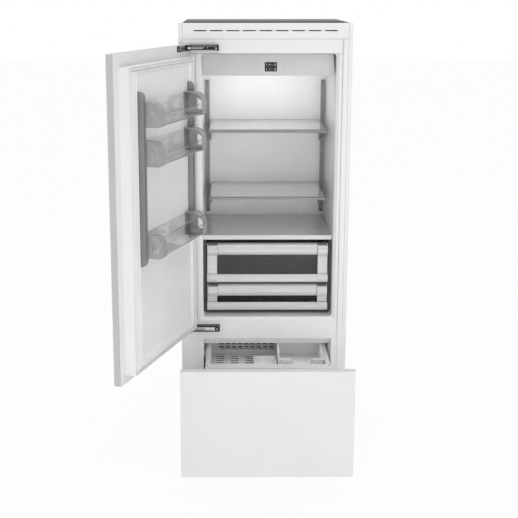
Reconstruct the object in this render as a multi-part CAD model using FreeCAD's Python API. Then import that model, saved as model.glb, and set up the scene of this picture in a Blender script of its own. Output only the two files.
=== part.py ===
import FreeCAD, Part
import math
import os

os.makedirs("parts", exist_ok=True)

# Panel-ready built-in refrigerator with a bottom freezer drawer, in millimetres.
# X to the right, Y into the cabinet, Z up. The origin is on the floor, under the middle
# of the cabinet's front plane. Moving pieces are drawn closed, then opened as far as shown.

# overall
overall_height = 2110.0
cabinet_depth = 600.0
panel_width = 756.0          # door, drawer front and grille
trim_width = 18.0            # how far each side trim laps past the casing
panel_thickness = 33.0
stand_off = 55.0             # from the panels' inner faces to the cabinet front
drawer_bottom = 158.0        # drawer front's lower edge above the floor
drawer_front_height = 492.0
panel_gap = 4.0              # between the drawer front and the door
door_drop = 97.0             # from the top of the cabinet to the door's top edge
gap = 0.5                    # working clearance between pieces on different carriers
sheet = 1.0                  # casing steel
plate = 2.0                  # heavier steel
easing = 1.5                 # rounded panel edges

# front frame and openings
frame_depth = 12.0
left_stile = 87.0
right_stile = 53.0
liner_wall = 3.0
liner_corner = 18.0
fridge_floor_rise = 62.0     # above the door's lower edge
back_foam = 62.0
fascia_height = 65.0
fascia_drop = 74.0           # below the top of the cabinet
fascia_left_inset = 32.0
fascia_right_inset = 23.0
grille_height = 71.0
grille_thickness = 3.0
vent_count = 9
vent_margin = 52.4           # from the outer vents to the grille's ends
vent_length = 57.6
vent_height = 5.0
vent_drop = 36.5             # slot centre below the top
groove_left_inset = 59.0
groove_right_inset = 26.0
groove_width = 4.0
groove_depth = 3.0
opening_bevel = 13.0         # round the fridge opening, over the frame's depth
freezer_floor_rise = 32.0    # above the drawer front's lower edge
freezer_top_drop = 78.0      # below the drawer front's top edge
freezer_bevel = 39.0         # how far the opening's top edge flares up
freezer_bevel_depth = 40.0
freezer_back_foam = 50.0
step_depth = 165.0           # the raised floor over the machine space
step_drop = 10.0             # below the slides
wall_foam = 37.0             # insulation round the machine space

# trims, top cover and rear
trim_face = 3.0
trim_leg = 60.0
trim_bead = 5.0
trim_line = 1.0
fixing_radius = 2.25
fixing_inset = 20.0          # from the trim leg's rear edge
fixing_low = 500.0
fixing_spacing = 1200.0
top_cover_depth = 250.0
top_cover_inset = 4.0
top_cover_thickness = 2.0
anti_tip_radius = 3.0
anti_tip_spacing = 500.0
anti_tip_inset = 40.0        # from the rear face
duct_height = 66.0           # air duct under the casing top
rib_width = 24.0
rib_margin = 120.0
louvre_pitch = 22.0
louvre_height = 7.0
louvre_length = 240.0
louvre_margin = 45.0

# base
casing_bottom = 25.0
base_drop = 8.0              # base frame's top below the drawer front's lower edge
rail_width = 32.0
rail_wall = 2.5
rail_height = 40.0
foot_inset_x = 48.0
foot_inset_y = 45.0
foot_radius = 25.0
foot_height = 10.0
foot_stem_radius = 6.0
foot_nut_radius = 11.0
foot_nut_height = 12.0
foot_shoe = 44.0
foot_shoe_height = 6.0
roller_radius = 28.0
roller_width = 22.0
roller_inset_y = 60.0
roller_side_gap = 1.5
axle_radius = 5.0
fork_length = 40.0
running_gap = 0.05
kick_set_back = 70.0
kick_thickness = 3.0
kick_bottom = 14.0
kick_slots = 7
kick_slot_length = 76.0
kick_slot_height = 6.0
kick_row_pitch = 20.0

# machine space
machine_clearance = 15.0     # from the compressor's top to the insulation
compressor_inset = 95.0      # from the opening's right side
compressor_radius = 72.0
dome_radius = 45.0
mount_height = 10.0
mount_radius = 9.0
fan_offset = 140.0           # from the compressor's middle to the fan
fan_margin = 12.0
fan_depth = 24.0
fan_hub = 18.0
fan_shaft = 3.0
fan_tip_gap = 3.0
fan_motor_radius = 20.0
fan_motor_length = 30.0
shroud_margin = 16.0
blade_count = 5
blade_thickness = 1.8
condenser_inset = 12.0       # from the side insulation
condenser_depth = 110.0
fin_pitch = 18.0
fin_thickness = 1.5
tube_radius = 5.0
pan_height = 34.0

# control panel and ceiling light
control_front = 50.0
control_drop = 104.0         # below the fascia
control_height = 78.0
control_left_gap = 1.0
control_right_gap = 9.0
control_depth = 150.0
control_step = 10.0
display_offset = 288.0       # from the control panel's left end
display_width = 57.0
display_rise = 19.0
display_height = 43.0
film = 1.5
lens_margin = 30.0
lens_thickness = 4.0

# ladder rails and shelves
ladder_inset = 5.0           # from the liner's side
ladder_width = 20.0
ladder_depth = 12.0
ladder_wall = 2.0
ladder_rise = 18.0           # above the crisper cover
ladder_drop = 59.0           # below the control panel
ladder_pitch = 31.0
ladder_slot = 14.0
shelf_inset = 29.0
shelf_front = 120.0
shelf_levels = (0.6575, 0.2293)      # between the crisper cover and the control panel
glass_thickness = 5.0
glass_corner = 8.0
bracket_height = 100.0
bracket_thickness = 5.0
bracket_nose = 16.0
bracket_foot = 26.0
hook_reach = 14.0
hook_height = 10.0
shelf_bar = 12.0

# crispers
cover_rise = 392.0           # cover above the fridge floor
cover_trim_height = 22.0
cover_front = 60.0
cover_lap = 4.0
cover_side_gap = 1.0
housing_wall = 12.0
housing_front = 78.0
housing_back_gap = 5.0
housing_floor = 8.0
crisper_side_gap = 18.5      # from the liner's side to the drawer front
crisper_front = 60.0         # face of the drawer fronts
crisper_front_depth = 15.0
crisper_back_gap = 46.0
stile_width = 47.0
crisper_rail = 38.0
crisper_handle = 53.0
upper_crisper_rise = 160.0   # above the fridge floor
upper_crisper_height = 192.0
lower_crisper_rise = 20.0
lower_crisper_height = 129.0
handle_reach = 24.0
handle_wall = 4.0
handle_end = 48.0
handle_gap = 4.0
front_swell = 5.0            # how far the lower rail swells out
tub_wall = 3.0
tub_corner = 10.0
tub_lift = 5.0
bearer_rise = 22.0           # bearers above the handle rail's lower edge
bearer_height = 12.0
bearer_reach = 4.0
window_thickness = 4.0

# door, from the panel's inner face inwards
door_open_angle = 110.4
pivot_inset = 27.0           # hinge axis from the panel's hinge edge
pivot_off = 7.0              # hinge axis from the panel's inner face
body_inset = 43.0
body_thickness = 41.0
body_top_inset = 52.0
body_bottom_inset = 36.0
body_easing = 4.0
gasket_width = 14.0
gasket_inset = 4.0
gasket_easing = 3.0
dyke_left_gap = 5.0
dyke_right_gap = 9.0
dyke_left_width = 20.0
dyke_right_width = 54.0
dyke_reach = 30.0
dyke_corner = 10.0
dyke_easing = 6.0
dyke_top_inset = 72.0
dyke_top_width = 12.0
dyke_bottom_inset = 68.0
dyke_bottom_width = 40.0
dyke_draft = 12.0            # slope of the rim's wide walls
dyke_steep_draft = 4.0
liner_skin = 3.0
rail_right_gap = 16.0
bin_rail_width = 14.0
bin_rail_reach = 29.0
bin_rail_rise = 487.0        # above the door's lower edge
bin_rail_drop = 153.0        # below the door's top edge
bin_rail_slot = 6.0
bin_rail_curve = 26.0
bin_rail_groove = 1.5
first_bin_drop = 143.0       # bins, from the rails' ends
second_bin_drop = 302.0
third_bin_rise = 35.0
bin_height = 102.0
bin_depth = 90.0
bin_wall = 3.0
bin_curve = 49.0
bin_heel = 12.0
bin_cup = 50.0               # how far each moulded end reaches in
bin_window_left = 46.0
bin_window_width = 31.0
bin_window_height = 50.0
bin_window_low = 22.0
trough_wall = 2.5
trough_rim = 7.0
seat_gap = 0.3

# hinges
hinge_inset = 34.0           # from the panel's hinge edge
hinge_length = 132.0
hinge_depth = 36.0
hinge_drop = 28.0            # below the door's top edge
hinge_rise = 2.0             # above its lower edge
hinge_height = 26.0
hinge_easing = 6.0
hinge_pin = 4.0
knuckle_radius = 6.3
knuckle_clearance = 0.6
leaf_height = 8.4
leaf_gap = 0.4
arm_thickness = 6.0
arm_length = 60.0
door_plate_length = 101.0
door_plate_thickness = 4.0

# freezer drawer and tray
drawer_overtravel = 10.0
drawer_body_thickness = 43.0
drawer_body_top_inset = 25.0
drawer_body_bottom_inset = 24.0
drawer_skin = 3.0
plateau_reach = 15.0
plateau_margin = 12.0
box_wall = 3.0
box_side = 29.0              # liner wall to drawer box
box_rise = 15.0
box_corner = 16.0
box_rim = 8.0
box_back_gap = 8.0
slide_drop = 55.0            # below the box's rim
slide_height = 45.0
slide_front = 25.0
slide_back_gap = 28.0
slide_wall = 2.0
slide_reach = 11.0
tray_travel = 190.0
tray_drop = 57.0             # rim below the freezer's ceiling
tray_depth = 100.0
tray_over_box = 10.0
tray_rim_thickness = 12.0
tray_rim_width = 18.0
tray_rim_corner = 14.0
tray_side_gap = 11.0
tray_front = 42.0
tray_lip = 50.0
tray_wall = 3.0
grid_thickness = 2.0
grid_margin = 24.0
slot_group_pitch = 75.0
slot_length = 40.0
slot_width = 9.0
slot_pitch = 27.0
back_slot_pitch = 32.0
back_slot_length = 22.0
back_slot_height = 6.0
runner_height = 10.0
ice_bin_width = 114.0
ice_bin_height = 52.0
ice_bin_depth = 300.0
ice_bin_wall = 2.5
bin_spacing = 6.0
basket_width = 218.0
basket_front_gap = 115.0     # behind the tray's front
basket_wall = 3.0
basket_lip = 19.0
notch_width = 106.0
notch_slope = 14.0
notch_depth = 30.0

# evaporator
evaporator_space = 42.0      # from its cover to the liner's back
cover_thickness = 3.0
evaporator_fan_inset = 110.0
evaporator_fan_depth = 16.0
coil_offset = 60.0
coil_margin = 20.0
coil_fins = 16

# worked out from the above
half_panel = panel_width / 2
half_overall = half_panel + trim_width
inner_half = half_panel - sheet
opening_left = -half_panel + left_stile
opening_right = half_panel - right_stile
middle = (opening_left + opening_right) / 2
casing_top = overall_height - top_cover_thickness
drawer_top = drawer_bottom + drawer_front_height
door_bottom = drawer_top + panel_gap
door_top = overall_height - door_drop
fascia_top = overall_height - fascia_drop
fascia_bottom = fascia_top - fascia_height
fascia_left = -half_panel + fascia_left_inset
fascia_right = half_panel - fascia_right_inset
foam_top = casing_top - sheet - duct_height
fridge_floor = door_bottom + fridge_floor_rise
fridge_depth = cabinet_depth - plate - back_foam - liner_wall
freezer_floor = drawer_bottom + freezer_floor_rise
freezer_top = drawer_top - freezer_top_drop
freezer_depth = cabinet_depth - plate - freezer_back_foam - liner_wall
evaporator_front = freezer_depth - evaporator_space
tray_rim_top = freezer_top - tray_drop
tray_bottom = tray_rim_top - tray_depth
tray_back = evaporator_front - cover_thickness
box_top = tray_bottom - tray_over_box
box_bottom = freezer_floor + box_rise
slide_bottom = box_top - slide_drop
slide_length = evaporator_front - slide_back_gap - slide_front
drawer_travel = slide_length + drawer_overtravel
step_top = slide_bottom - step_drop
step_front = freezer_depth - step_depth
box_back = step_front - box_back_gap
base_top = drawer_bottom - base_drop
machine_floor = base_top - rail_height
machine_top = step_top - liner_wall - wall_foam
machine_front = step_front + liner_wall + wall_foam
machine_back = cabinet_depth - plate
machine_middle = (machine_front + machine_back) / 2
compressor_x = opening_right - compressor_inset
compressor_height = machine_top - machine_floor - machine_clearance
condenser_fan_x = compressor_x - fan_offset
fan_radius = (machine_top - machine_floor) / 2 - 2 * shroud_margin - 1
control_bottom = fascia_bottom - control_drop
control_left = opening_left + control_left_gap
control_right = opening_right - control_right_gap
cover_top = fridge_floor + cover_rise
shelf_left = opening_left + shelf_inset
shelf_back = fridge_depth - ladder_depth - sheet
ladder_left = opening_left + ladder_inset
ladder_bottom = cover_top + ladder_rise
ladder_top = control_bottom - ladder_drop
housing_back = fridge_depth - housing_back_gap
crisper_left = opening_left + crisper_side_gap
crisper_depth = housing_back - housing_wall - crisper_back_gap
panel_back = -stand_off
liner_face = panel_back + body_thickness
tray_face = liner_face + liner_skin      # where the bin rails stand
pivot_x = -half_panel + pivot_inset
pivot_y = panel_back + pivot_off
dyke_left = opening_left + dyke_left_gap
dyke_right = opening_right - dyke_right_gap
rail_left = dyke_left + dyke_left_width
rail_right = dyke_right - dyke_right_width - rail_right_gap
bin_rail_bottom = door_bottom + bin_rail_rise
bin_rail_top = door_top - bin_rail_drop
bin_bottoms = (bin_rail_top - first_bin_drop, bin_rail_top - second_bin_drop,
               bin_rail_bottom + third_bin_rise)
hinge_left = -half_panel + hinge_inset
hinge_heights = (door_top - hinge_drop, door_bottom + hinge_rise)
drawer_face = panel_back + drawer_body_thickness
box_front = drawer_face + drawer_skin + plateau_reach


def block(x0, x1, y0, y1, z0, z1):
    return Part.makeBox(x1 - x0, y1 - y0, z1 - z0, FreeCAD.Vector(x0, y0, z0))


def profile_x(points, x0, x1):
    """A closed outline of (y, z) points, drawn out along X."""
    corners = [FreeCAD.Vector(x0, y, z) for y, z in points]
    face = Part.Face(Part.makePolygon(corners + corners[:1]))
    return face.extrude(FreeCAD.Vector(x1 - x0, 0, 0))


def profile_z(points, z0, z1):
    """A closed outline of (x, y) points, drawn up along Z."""
    corners = [FreeCAD.Vector(x, y, z0) for x, y in points]
    face = Part.Face(Part.makePolygon(corners + corners[:1]))
    return face.extrude(FreeCAD.Vector(0, 0, z1 - z0))


def rod(x, y, z, radius, length, axis):
    return Part.makeCylinder(radius, length, FreeCAD.Vector(x, y, z), FreeCAD.Vector(*axis))


def along(edge, axis):
    """Whether a straight edge runs along an axis."""
    if not isinstance(edge.Curve, Part.Line):
        return False
    direction = edge.Curve.Direction
    return abs(abs(direction.dot(FreeCAD.Vector(*axis))) - 1) < 1e-6


def eased(shape, radius, axis, keep=lambda middle: True):
    """The shape with its straight edges along an axis rounded, where keep says so."""
    edges = [e for e in shape.Edges if along(e, axis) and keep(e.CenterOfMass)]
    return shape.makeFillet(radius, edges)


def joined(pieces):
    whole = pieces[0].multiFuse(pieces[1:]) if len(pieces) > 1 else pieces[0]
    return whole.removeSplitter()


def mirrored(shape):
    """The same piece on the other side of the interior's middle."""
    return shape.mirror(FreeCAD.Vector(middle, 0, 0), FreeCAD.Vector(1, 0, 0))


def opened(shape):
    """A door piece, swung open about the hinge axis."""
    turned = shape.copy()
    turned.rotate(FreeCAD.Vector(pivot_x, pivot_y, 0), FreeCAD.Vector(0, 0, 1), -door_open_angle)
    return turned


def pulled(shape, distance):
    moved = shape.copy()
    moved.translate(FreeCAD.Vector(0, -distance, 0))
    return moved


def write(name, shape):
    solids = shape.Solids
    whole = solids[0] if len(solids) == 1 else Part.makeCompound(solids)
    whole.exportStep("parts/" + name + ".step")
    print(name, len(solids), "solids", round(whole.Volume / 1000), "cm3", whole.isValid())


def ring(x0, x1, y0, y1, z0, z1, width):
    """A flat rectangular ring in the XZ plane."""
    hole = block(x0 + width, x1 - width, y0 - 1, y1 + 1, z0 + width, z1 - width)
    return block(x0, x1, y0, y1, z0, z1).cut(hole)


# ---- cabinet shell

def outer_casing():
    inner = block(-inner_half, inner_half, 0, cabinet_depth + 1,
                  casing_bottom - 1, casing_top - sheet)
    shell = block(-half_panel, half_panel, frame_depth, cabinet_depth,
                  casing_bottom, casing_top).cut(inner)
    for side in (-1, 1):
        shell = shell.cut(rod(side * anti_tip_spacing / 2, cabinet_depth - anti_tip_inset,
                              casing_top - 2 * sheet, anti_tip_radius, 3 * sheet, (0, 0, 1)))
    return shell


def rear_panel():
    panel = block(-inner_half, inner_half, machine_back, cabinet_depth,
                  machine_top, casing_top - sheet)
    for rib in range(-2, 3):
        x = rib * inner_half / 3
        panel = panel.cut(block(x - rib_width / 2, x + rib_width / 2,
                                cabinet_depth - plate / 2, cabinet_depth + 1,
                                machine_top + rib_margin, foam_top - rib_margin))
    return panel


def machine_cover():
    cover = block(-inner_half, inner_half, machine_back, cabinet_depth,
                  casing_bottom, machine_top)
    rows = int((machine_top - casing_bottom - 2 * louvre_margin) / louvre_pitch) + 1
    for row in range(rows):
        z = casing_bottom + louvre_margin + row * louvre_pitch
        for side in (-1, 1):
            x = side * inner_half / 2
            cover = cover.cut(block(x - louvre_length / 2, x + louvre_length / 2,
                                    machine_back - plate, cabinet_depth + 1,
                                    z, z + louvre_height))
    return cover


def foam():
    """One block to each wall, so that the two compartments stay open."""
    back = machine_back
    left = opening_left - liner_wall
    right = opening_right + liner_wall
    walls = [
        block(-inner_half, left, frame_depth, back, base_top, foam_top),
        block(right, inner_half, frame_depth, back, base_top, foam_top),
        block(left, right, frame_depth, back, fascia_bottom + liner_wall, foam_top),
        block(left, right, fridge_depth + liner_wall, back,
              fridge_floor - liner_wall, fascia_bottom + liner_wall),
        block(left, right, frame_depth, back,
              freezer_top + freezer_bevel, fridge_floor - liner_wall),
        block(left, right, freezer_bevel_depth + 5, back,
              freezer_top + liner_wall, freezer_top + freezer_bevel),
        block(left, right, freezer_depth + liner_wall, back,
              step_top - liner_wall, freezer_top + liner_wall),
        block(left, right, step_front + liner_wall, back, machine_top, step_top - liner_wall),
        block(left, right, step_front + liner_wall, machine_front, base_top, machine_top),
        block(left, right, frame_depth, step_front + liner_wall,
              base_top, freezer_floor - liner_wall),
    ]
    return Part.makeCompound(walls)


def fridge_room():
    """The space inside the fridge liner, with rounded long corners."""
    room = block(opening_left, opening_right, 0, fridge_depth, fridge_floor, fascia_bottom)
    return eased(room, liner_corner, (0, 1, 0))


def fridge_liner():
    outer = block(opening_left - liner_wall, opening_right + liner_wall, frame_depth,
                  fridge_depth + liner_wall, fridge_floor - liner_wall,
                  fascia_bottom + liner_wall)
    return outer.cut(fridge_room())


def freezer_room():
    """The freezer's inside: a flared top edge in front and a raised floor at the back."""
    return profile_x([
        (-1, freezer_floor),
        (-1, freezer_top + freezer_bevel),
        (0, freezer_top + freezer_bevel),
        (freezer_bevel_depth, freezer_top),
        (freezer_depth, freezer_top),
        (freezer_depth, step_top),
        (step_front, step_top),
        (step_front, freezer_floor),
    ], opening_left, opening_right)


def freezer_liner():
    slope = freezer_bevel / freezer_bevel_depth
    rise = freezer_bevel - slope * frame_depth + liner_wall * math.sqrt(1 + slope ** 2)
    outer = profile_x([
        (frame_depth, freezer_floor - liner_wall),
        (frame_depth, freezer_top + rise),
        (freezer_bevel_depth + liner_wall / 2, freezer_top + liner_wall),
        (freezer_depth + liner_wall, freezer_top + liner_wall),
        (freezer_depth + liner_wall, step_top - liner_wall),
        (step_front + liner_wall, step_top - liner_wall),
        (step_front + liner_wall, freezer_floor - liner_wall),
    ], opening_left - liner_wall, opening_right + liner_wall)
    return outer.cut(freezer_room())


def bevelled_opening():
    """The fridge opening: three sides flare out towards the front."""
    slope = opening_bevel / frame_depth

    def outline(y, spread):
        x0, x1 = opening_left - spread, opening_right + spread
        z0, z1 = fridge_floor - spread, fascia_bottom + 1
        corners = [FreeCAD.Vector(x, y, z) for x, z in (
            (x0, z0), (x1, z0), (x1, z1), (x0, z1))]
        return Part.makePolygon(corners + corners[:1])

    return Part.makeLoft([outline(-1, opening_bevel + slope),
                          outline(frame_depth + 1, -slope)], True)


def front_frame():
    plate_face = block(-half_panel, half_panel, 0, frame_depth, base_top, fascia_top)
    plate_face = plate_face.cut(bevelled_opening())
    plate_face = plate_face.cut(block(fascia_left, fascia_right, -1, frame_depth + 1,
                                      fascia_bottom, fascia_top + 1))
    plate_face = plate_face.cut(freezer_room())
    for x in (-half_panel + groove_left_inset, half_panel - groove_right_inset):
        plate_face = plate_face.cut(block(
            x - groove_width / 2, x + groove_width / 2, -1, groove_depth,
            freezer_floor, fascia_bottom))
    return plate_face


def side_trim(side):
    """An angle: the flange laps the next cabinet, the leg lies on the casing."""
    inner = side * half_panel
    outer = side * half_overall
    leg = side * (half_panel + trim_face)
    flange = block(min(inner, outer), max(inner, outer), 0, trim_face, base_top, casing_top)
    edge = outer
    flange = eased(flange, trim_face / 2, (0, 0, 1), lambda p: abs(p.x - edge) < 1 and p.y < 1)
    upright = block(min(inner, leg), max(inner, leg), trim_face, trim_leg,
                    base_top, casing_top)
    bead = side * (half_overall - trim_bead)
    line = block(bead - trim_line / 2, bead + trim_line / 2, -1, trim_line,
                 base_top - 1, casing_top + 1)
    trim = joined([flange, upright]).cut(line)
    for z in (fixing_low, fixing_low + fixing_spacing):
        trim = trim.cut(rod(min(inner, leg) - 1, trim_leg - fixing_inset, z,
                            fixing_radius, trim_face + 2, (1, 0, 0)))
    return trim


def top_cover():
    return eased(block(-half_panel + top_cover_inset, half_panel - top_cover_inset,
                       plate, top_cover_depth, casing_top, overall_height),
                 top_cover_inset, (0, 0, 1))


def top_grille():
    """A front plate with returned edges and a row of long vents."""
    grille_bottom = casing_top - grille_height
    outer = block(-half_panel, half_panel, 0, frame_depth, grille_bottom, casing_top)
    hollow = block(-half_panel + grille_thickness, half_panel - grille_thickness,
                   grille_thickness, frame_depth + 1,
                   grille_bottom + grille_thickness, casing_top - grille_thickness)
    grille = outer.cut(hollow)
    z = overall_height - vent_drop
    pitch = (panel_width - 2 * vent_margin - vent_length) / (vent_count - 1)
    for vent in range(vent_count):
        x = (vent - (vent_count - 1) / 2) * pitch
        grille = grille.cut(block(x - vent_length / 2, x + vent_length / 2,
                                  -1, grille_thickness + 1,
                                  z - vent_height / 2, z + vent_height / 2))
    return grille


def fascia():
    return block(fascia_left, fascia_right, 0, frame_depth, fascia_bottom, fascia_top)


# ---- base and machine space

def base_frame():
    """Two channels and two cross members, welded into one frame."""
    pieces = []
    z0, z1 = machine_floor, base_top
    for side in (-1, 1):
        x0, x1 = sorted((side * inner_half, side * (inner_half - rail_width)))
        channel = block(x0, x1, frame_depth, machine_back, z0, z1)
        pocket = block(x0 + rail_wall, x1 - rail_wall, frame_depth + rail_wall,
                       machine_back - rail_wall, z0 - 1, z1 - rail_wall)
        pieces.append(channel.cut(pocket))
    inside = inner_half - rail_width
    for y0 in (frame_depth + foot_inset_y / 2, machine_front - rail_width):
        member = block(-inside, inside, y0, y0 + rail_width, z0, z1)
        pocket = block(-inside + rail_wall, inside - rail_wall, y0 + rail_wall,
                       y0 + rail_width - rail_wall, z0 - 1, z1 - rail_wall)
        pieces.append(member.cut(pocket))
    return joined(pieces)


def foot_place(side):
    return side * (half_panel - foot_inset_x), foot_inset_y


def levelling_feet():
    feet = []
    for side in (-1, 1):
        x, y = foot_place(side)
        pad = Part.makeCone(foot_radius, foot_radius * 0.7, foot_height,
                            FreeCAD.Vector(x, y, 0))
        nut = Part.makePolygon([
            FreeCAD.Vector(x + foot_nut_radius * math.cos(math.radians(a)),
                           y + foot_nut_radius * math.sin(math.radians(a)), foot_height)
            for a in range(0, 361, 60)])
        nut = Part.Face(nut).extrude(FreeCAD.Vector(0, 0, foot_nut_height))
        stem = rod(x, y, foot_height, foot_stem_radius,
                   machine_floor - foot_height, (0, 0, 1))
        feet.append(joined([pad, nut, stem]))
    return Part.makeCompound(feet)


def foot_brackets():
    """Plates under the front cross member that the feet screw into."""
    z = machine_floor
    plates = []
    for side in (-1, 1):
        x, y = foot_place(side)
        shoe = block(x - foot_shoe / 2, x + foot_shoe / 2, y - foot_shoe / 2,
                     y + foot_shoe / 2, z - foot_shoe_height, z)
        plates.append(shoe.cut(rod(x, y, 0, foot_stem_radius, base_top, (0, 0, 1))))
    return Part.makeCompound(plates)


def roller_place(side):
    return side * (inner_half - rail_width / 2), cabinet_depth - roller_inset_y


def roller(side):
    x, y = roller_place(side)
    wheel = rod(x - roller_width / 2, y, roller_radius, roller_radius, roller_width, (1, 0, 0))
    bore = rod(x - roller_width, y, roller_radius, axle_radius + running_gap,
               2 * roller_width, (1, 0, 0))
    return wheel.cut(bore)


def roller_forks():
    """A fork and axle for each rear roller."""
    forks = []
    for side in (-1, 1):
        x, y = roller_place(side)
        y0, y1 = y - fork_length / 2, y + fork_length / 2
        half = roller_width / 2 + roller_side_gap
        cheeks = [block(low, low + rail_wall, y0, y1, roller_radius / 2, machine_floor)
                  for low in (x - half - rail_wall, x + half)]
        bridge = block(x - half, x + half, y0, y1, machine_floor - rail_wall, machine_floor)
        axle = rod(x - half - rail_wall, y, roller_radius, axle_radius,
                   2 * (half + rail_wall), (1, 0, 0))
        forks.append(joined(cheeks + [bridge, axle]))
    return Part.makeCompound(forks)


def toe_kick():
    kick = block(-inner_half, inner_half, kick_set_back, kick_set_back + kick_thickness,
                 kick_bottom, machine_floor)
    pitch = panel_width / (kick_slots + 1)
    for row in range(3):
        z = kick_bottom + (row + 1) * kick_row_pitch
        for column in range(kick_slots):
            x = (column - (kick_slots - 1) / 2) * pitch
            kick = kick.cut(block(x - kick_slot_length / 2, x + kick_slot_length / 2,
                                  0, cabinet_depth, z, z + kick_slot_height))
    return kick


def machine_tray():
    """The sheet that the compressor, fan and condenser stand on."""
    floor = block(-inner_half, inner_half, machine_front, machine_back,
                  machine_floor - plate, machine_floor)
    for side in (-1, 1):
        x, y = roller_place(side)
        room = fork_length / 2 + foot_shoe_height
        floor = floor.cut(block(x - room, x + room, y - room, y + room, 0, overall_height))
    return floor


def compressor():
    """A domed pot on a mounting plate with four rubber feet and its pipe stubs."""
    x, y, z = compressor_x, machine_middle, machine_floor + mount_height
    r, h = compressor_radius, compressor_height - mount_height
    seam = r + 2 * plate
    dome = dome_radius
    pot = joined([
        rod(x, y, z, r, h - dome, (0, 0, 1)),
        rod(x, y, z + 0.55 * h, seam, 2 * plate, (0, 0, 1)),
        Part.makeCone(r, r - dome, dome, FreeCAD.Vector(x, y, z + h - dome)),
    ])
    base = block(x - r, x + r, y - 0.9 * r, y + 0.9 * r, z, z + 2 * plate)
    inset = mount_radius + 2 * plate
    feet = []
    for sx in (-1, 1):
        for sy in (-1, 1):
            foot_x, foot_y = x + sx * (r - inset), y + sy * (0.9 * r - inset)
            feet.append(block(foot_x - mount_radius, foot_x + mount_radius,
                              foot_y - mount_radius, foot_y + mount_radius,
                              machine_floor, z))
    stub = tube(x - 1.25 * r, y, z + 0.35 * h, r)
    return joined([pot, base, stub] + feet)


def tube(x, y, z, length):
    """A six-sided tube along X."""
    corners = [(y + tube_radius * math.cos(math.radians(a)),
                z + tube_radius * math.sin(math.radians(a))) for a in range(0, 360, 60)]
    return profile_x(corners, x, x + length)


def condenser():
    """A block of fins on straight tubes, with end plates."""
    x0 = opening_left + condenser_inset
    y0 = machine_middle - condenser_depth / 2
    height = machine_top - machine_floor - pan_height - tube_radius
    fins = range(condenser_fins())
    pieces = [block(x0 + n * fin_pitch, x0 + n * fin_pitch + fin_thickness, y0,
                    y0 + condenser_depth, machine_floor, machine_floor + height) for n in fins]
    for level in (0.25, 0.75):
        pieces.append(tube(x0 - tube_radius, machine_middle, machine_floor + level * height,
                           (len(fins) - 1) * fin_pitch + 2 * tube_radius))
    return joined(pieces)


def condenser_fins():
    return int((condenser_fan_x - 2 * shroud_margin - opening_left - condenser_inset)
               / (2 * fin_pitch)) * 2


def fan_blades(radius, depth, pitch):
    """A hub with raked blades, turning about its own Z axis at the origin."""
    hub = rod(0, 0, -depth / 2, fan_hub, depth, (0, 0, 1))
    pieces = [hub]
    for n in range(blade_count):
        blade = block(fan_hub - blade_thickness, radius, -0.32 * radius, 0.32 * radius,
                      -blade_thickness / 2, blade_thickness / 2)
        blade.rotate(FreeCAD.Vector(), FreeCAD.Vector(1, 0, 0), pitch)
        blade.rotate(FreeCAD.Vector(), FreeCAD.Vector(0, 0, 1), n * 360 / blade_count)
        pieces.append(blade)
    wheel = joined(pieces).common(rod(0, 0, -depth / 2, radius, depth, (0, 0, 1)))
    return wheel.cut(rod(0, 0, -depth, fan_shaft + running_gap, 2 * depth, (0, 0, 1)))


def turned_to_x(shape, x, y, z):
    turned = shape.copy()
    turned.rotate(FreeCAD.Vector(), FreeCAD.Vector(0, 1, 0), 90)
    turned.translate(FreeCAD.Vector(x, y, z))
    return turned


def condenser_fan_height():
    return machine_floor + fan_radius + fan_margin


def condenser_fan():
    return turned_to_x(fan_blades(fan_radius, fan_depth, 28),
                       condenser_fan_x, machine_middle, condenser_fan_height())


def condenser_fan_shroud():
    """The ring round the fan, its three arms and the motor that holds the shaft."""
    x, y, z = condenser_fan_x, machine_middle, condenser_fan_height()
    depth = fan_depth + shroud_margin
    reach = fan_radius + fan_margin
    outer = block(x - depth / 2, x + depth / 2, y - reach, y + reach, machine_floor, z + reach)
    outer = outer.cut(rod(x - depth, y, z, fan_radius + fan_tip_gap, 2 * depth, (1, 0, 0)))
    motor = rod(x + fan_depth / 2 + plate, y, z, fan_motor_radius, fan_motor_length, (1, 0, 0))
    shaft = rod(x - fan_depth / 2, y, z, fan_shaft, fan_depth + 2 * plate, (1, 0, 0))
    arms = []
    for n in range(3):
        arm = block(x + depth / 2 - 2 * plate, x + depth / 2, y - 2 * plate, y + 2 * plate,
                    z + fan_motor_radius - plate, z + fan_radius + fan_tip_gap + plate)
        arm.rotate(FreeCAD.Vector(x, y, z), FreeCAD.Vector(1, 0, 0), n * 120)
        arms.append(arm)
    return joined([outer, motor, shaft] + arms)


def drain_pan():
    x0 = opening_left + 2 * condenser_inset
    x1 = x0 + (condenser_fins() - 2) * fin_pitch
    y0, y1 = machine_front + condenser_inset, machine_back - condenser_inset
    z0 = machine_top - pan_height - tube_radius
    pan = block(x0, x1, y0, y1, z0, z0 + pan_height)
    return pan.cut(block(x0 + plate, x1 - plate, y0 + plate, y1 - plate,
                         z0 + plate, machine_top))


# ---- control panel, rails, shelves

def control_housing():
    top = control_bottom + control_height
    housing = profile_x([
        (control_front, control_bottom),
        (control_front, top),
        (control_front + control_step, top + control_step),
        (control_front + control_step, fascia_bottom),
        (control_front + control_depth, fascia_bottom),
        (control_front + control_depth, top),
        (control_front + control_height / 2, control_bottom),
    ], control_left, control_right)
    return housing.common(fridge_room())


def display_window():
    x0, z0 = control_left + display_offset, control_bottom + display_rise
    pane = block(x0, x0 + display_width, control_front - film, control_front,
                 z0, z0 + display_height)
    return eased(pane, 2 * film, (0, 1, 0))


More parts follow.
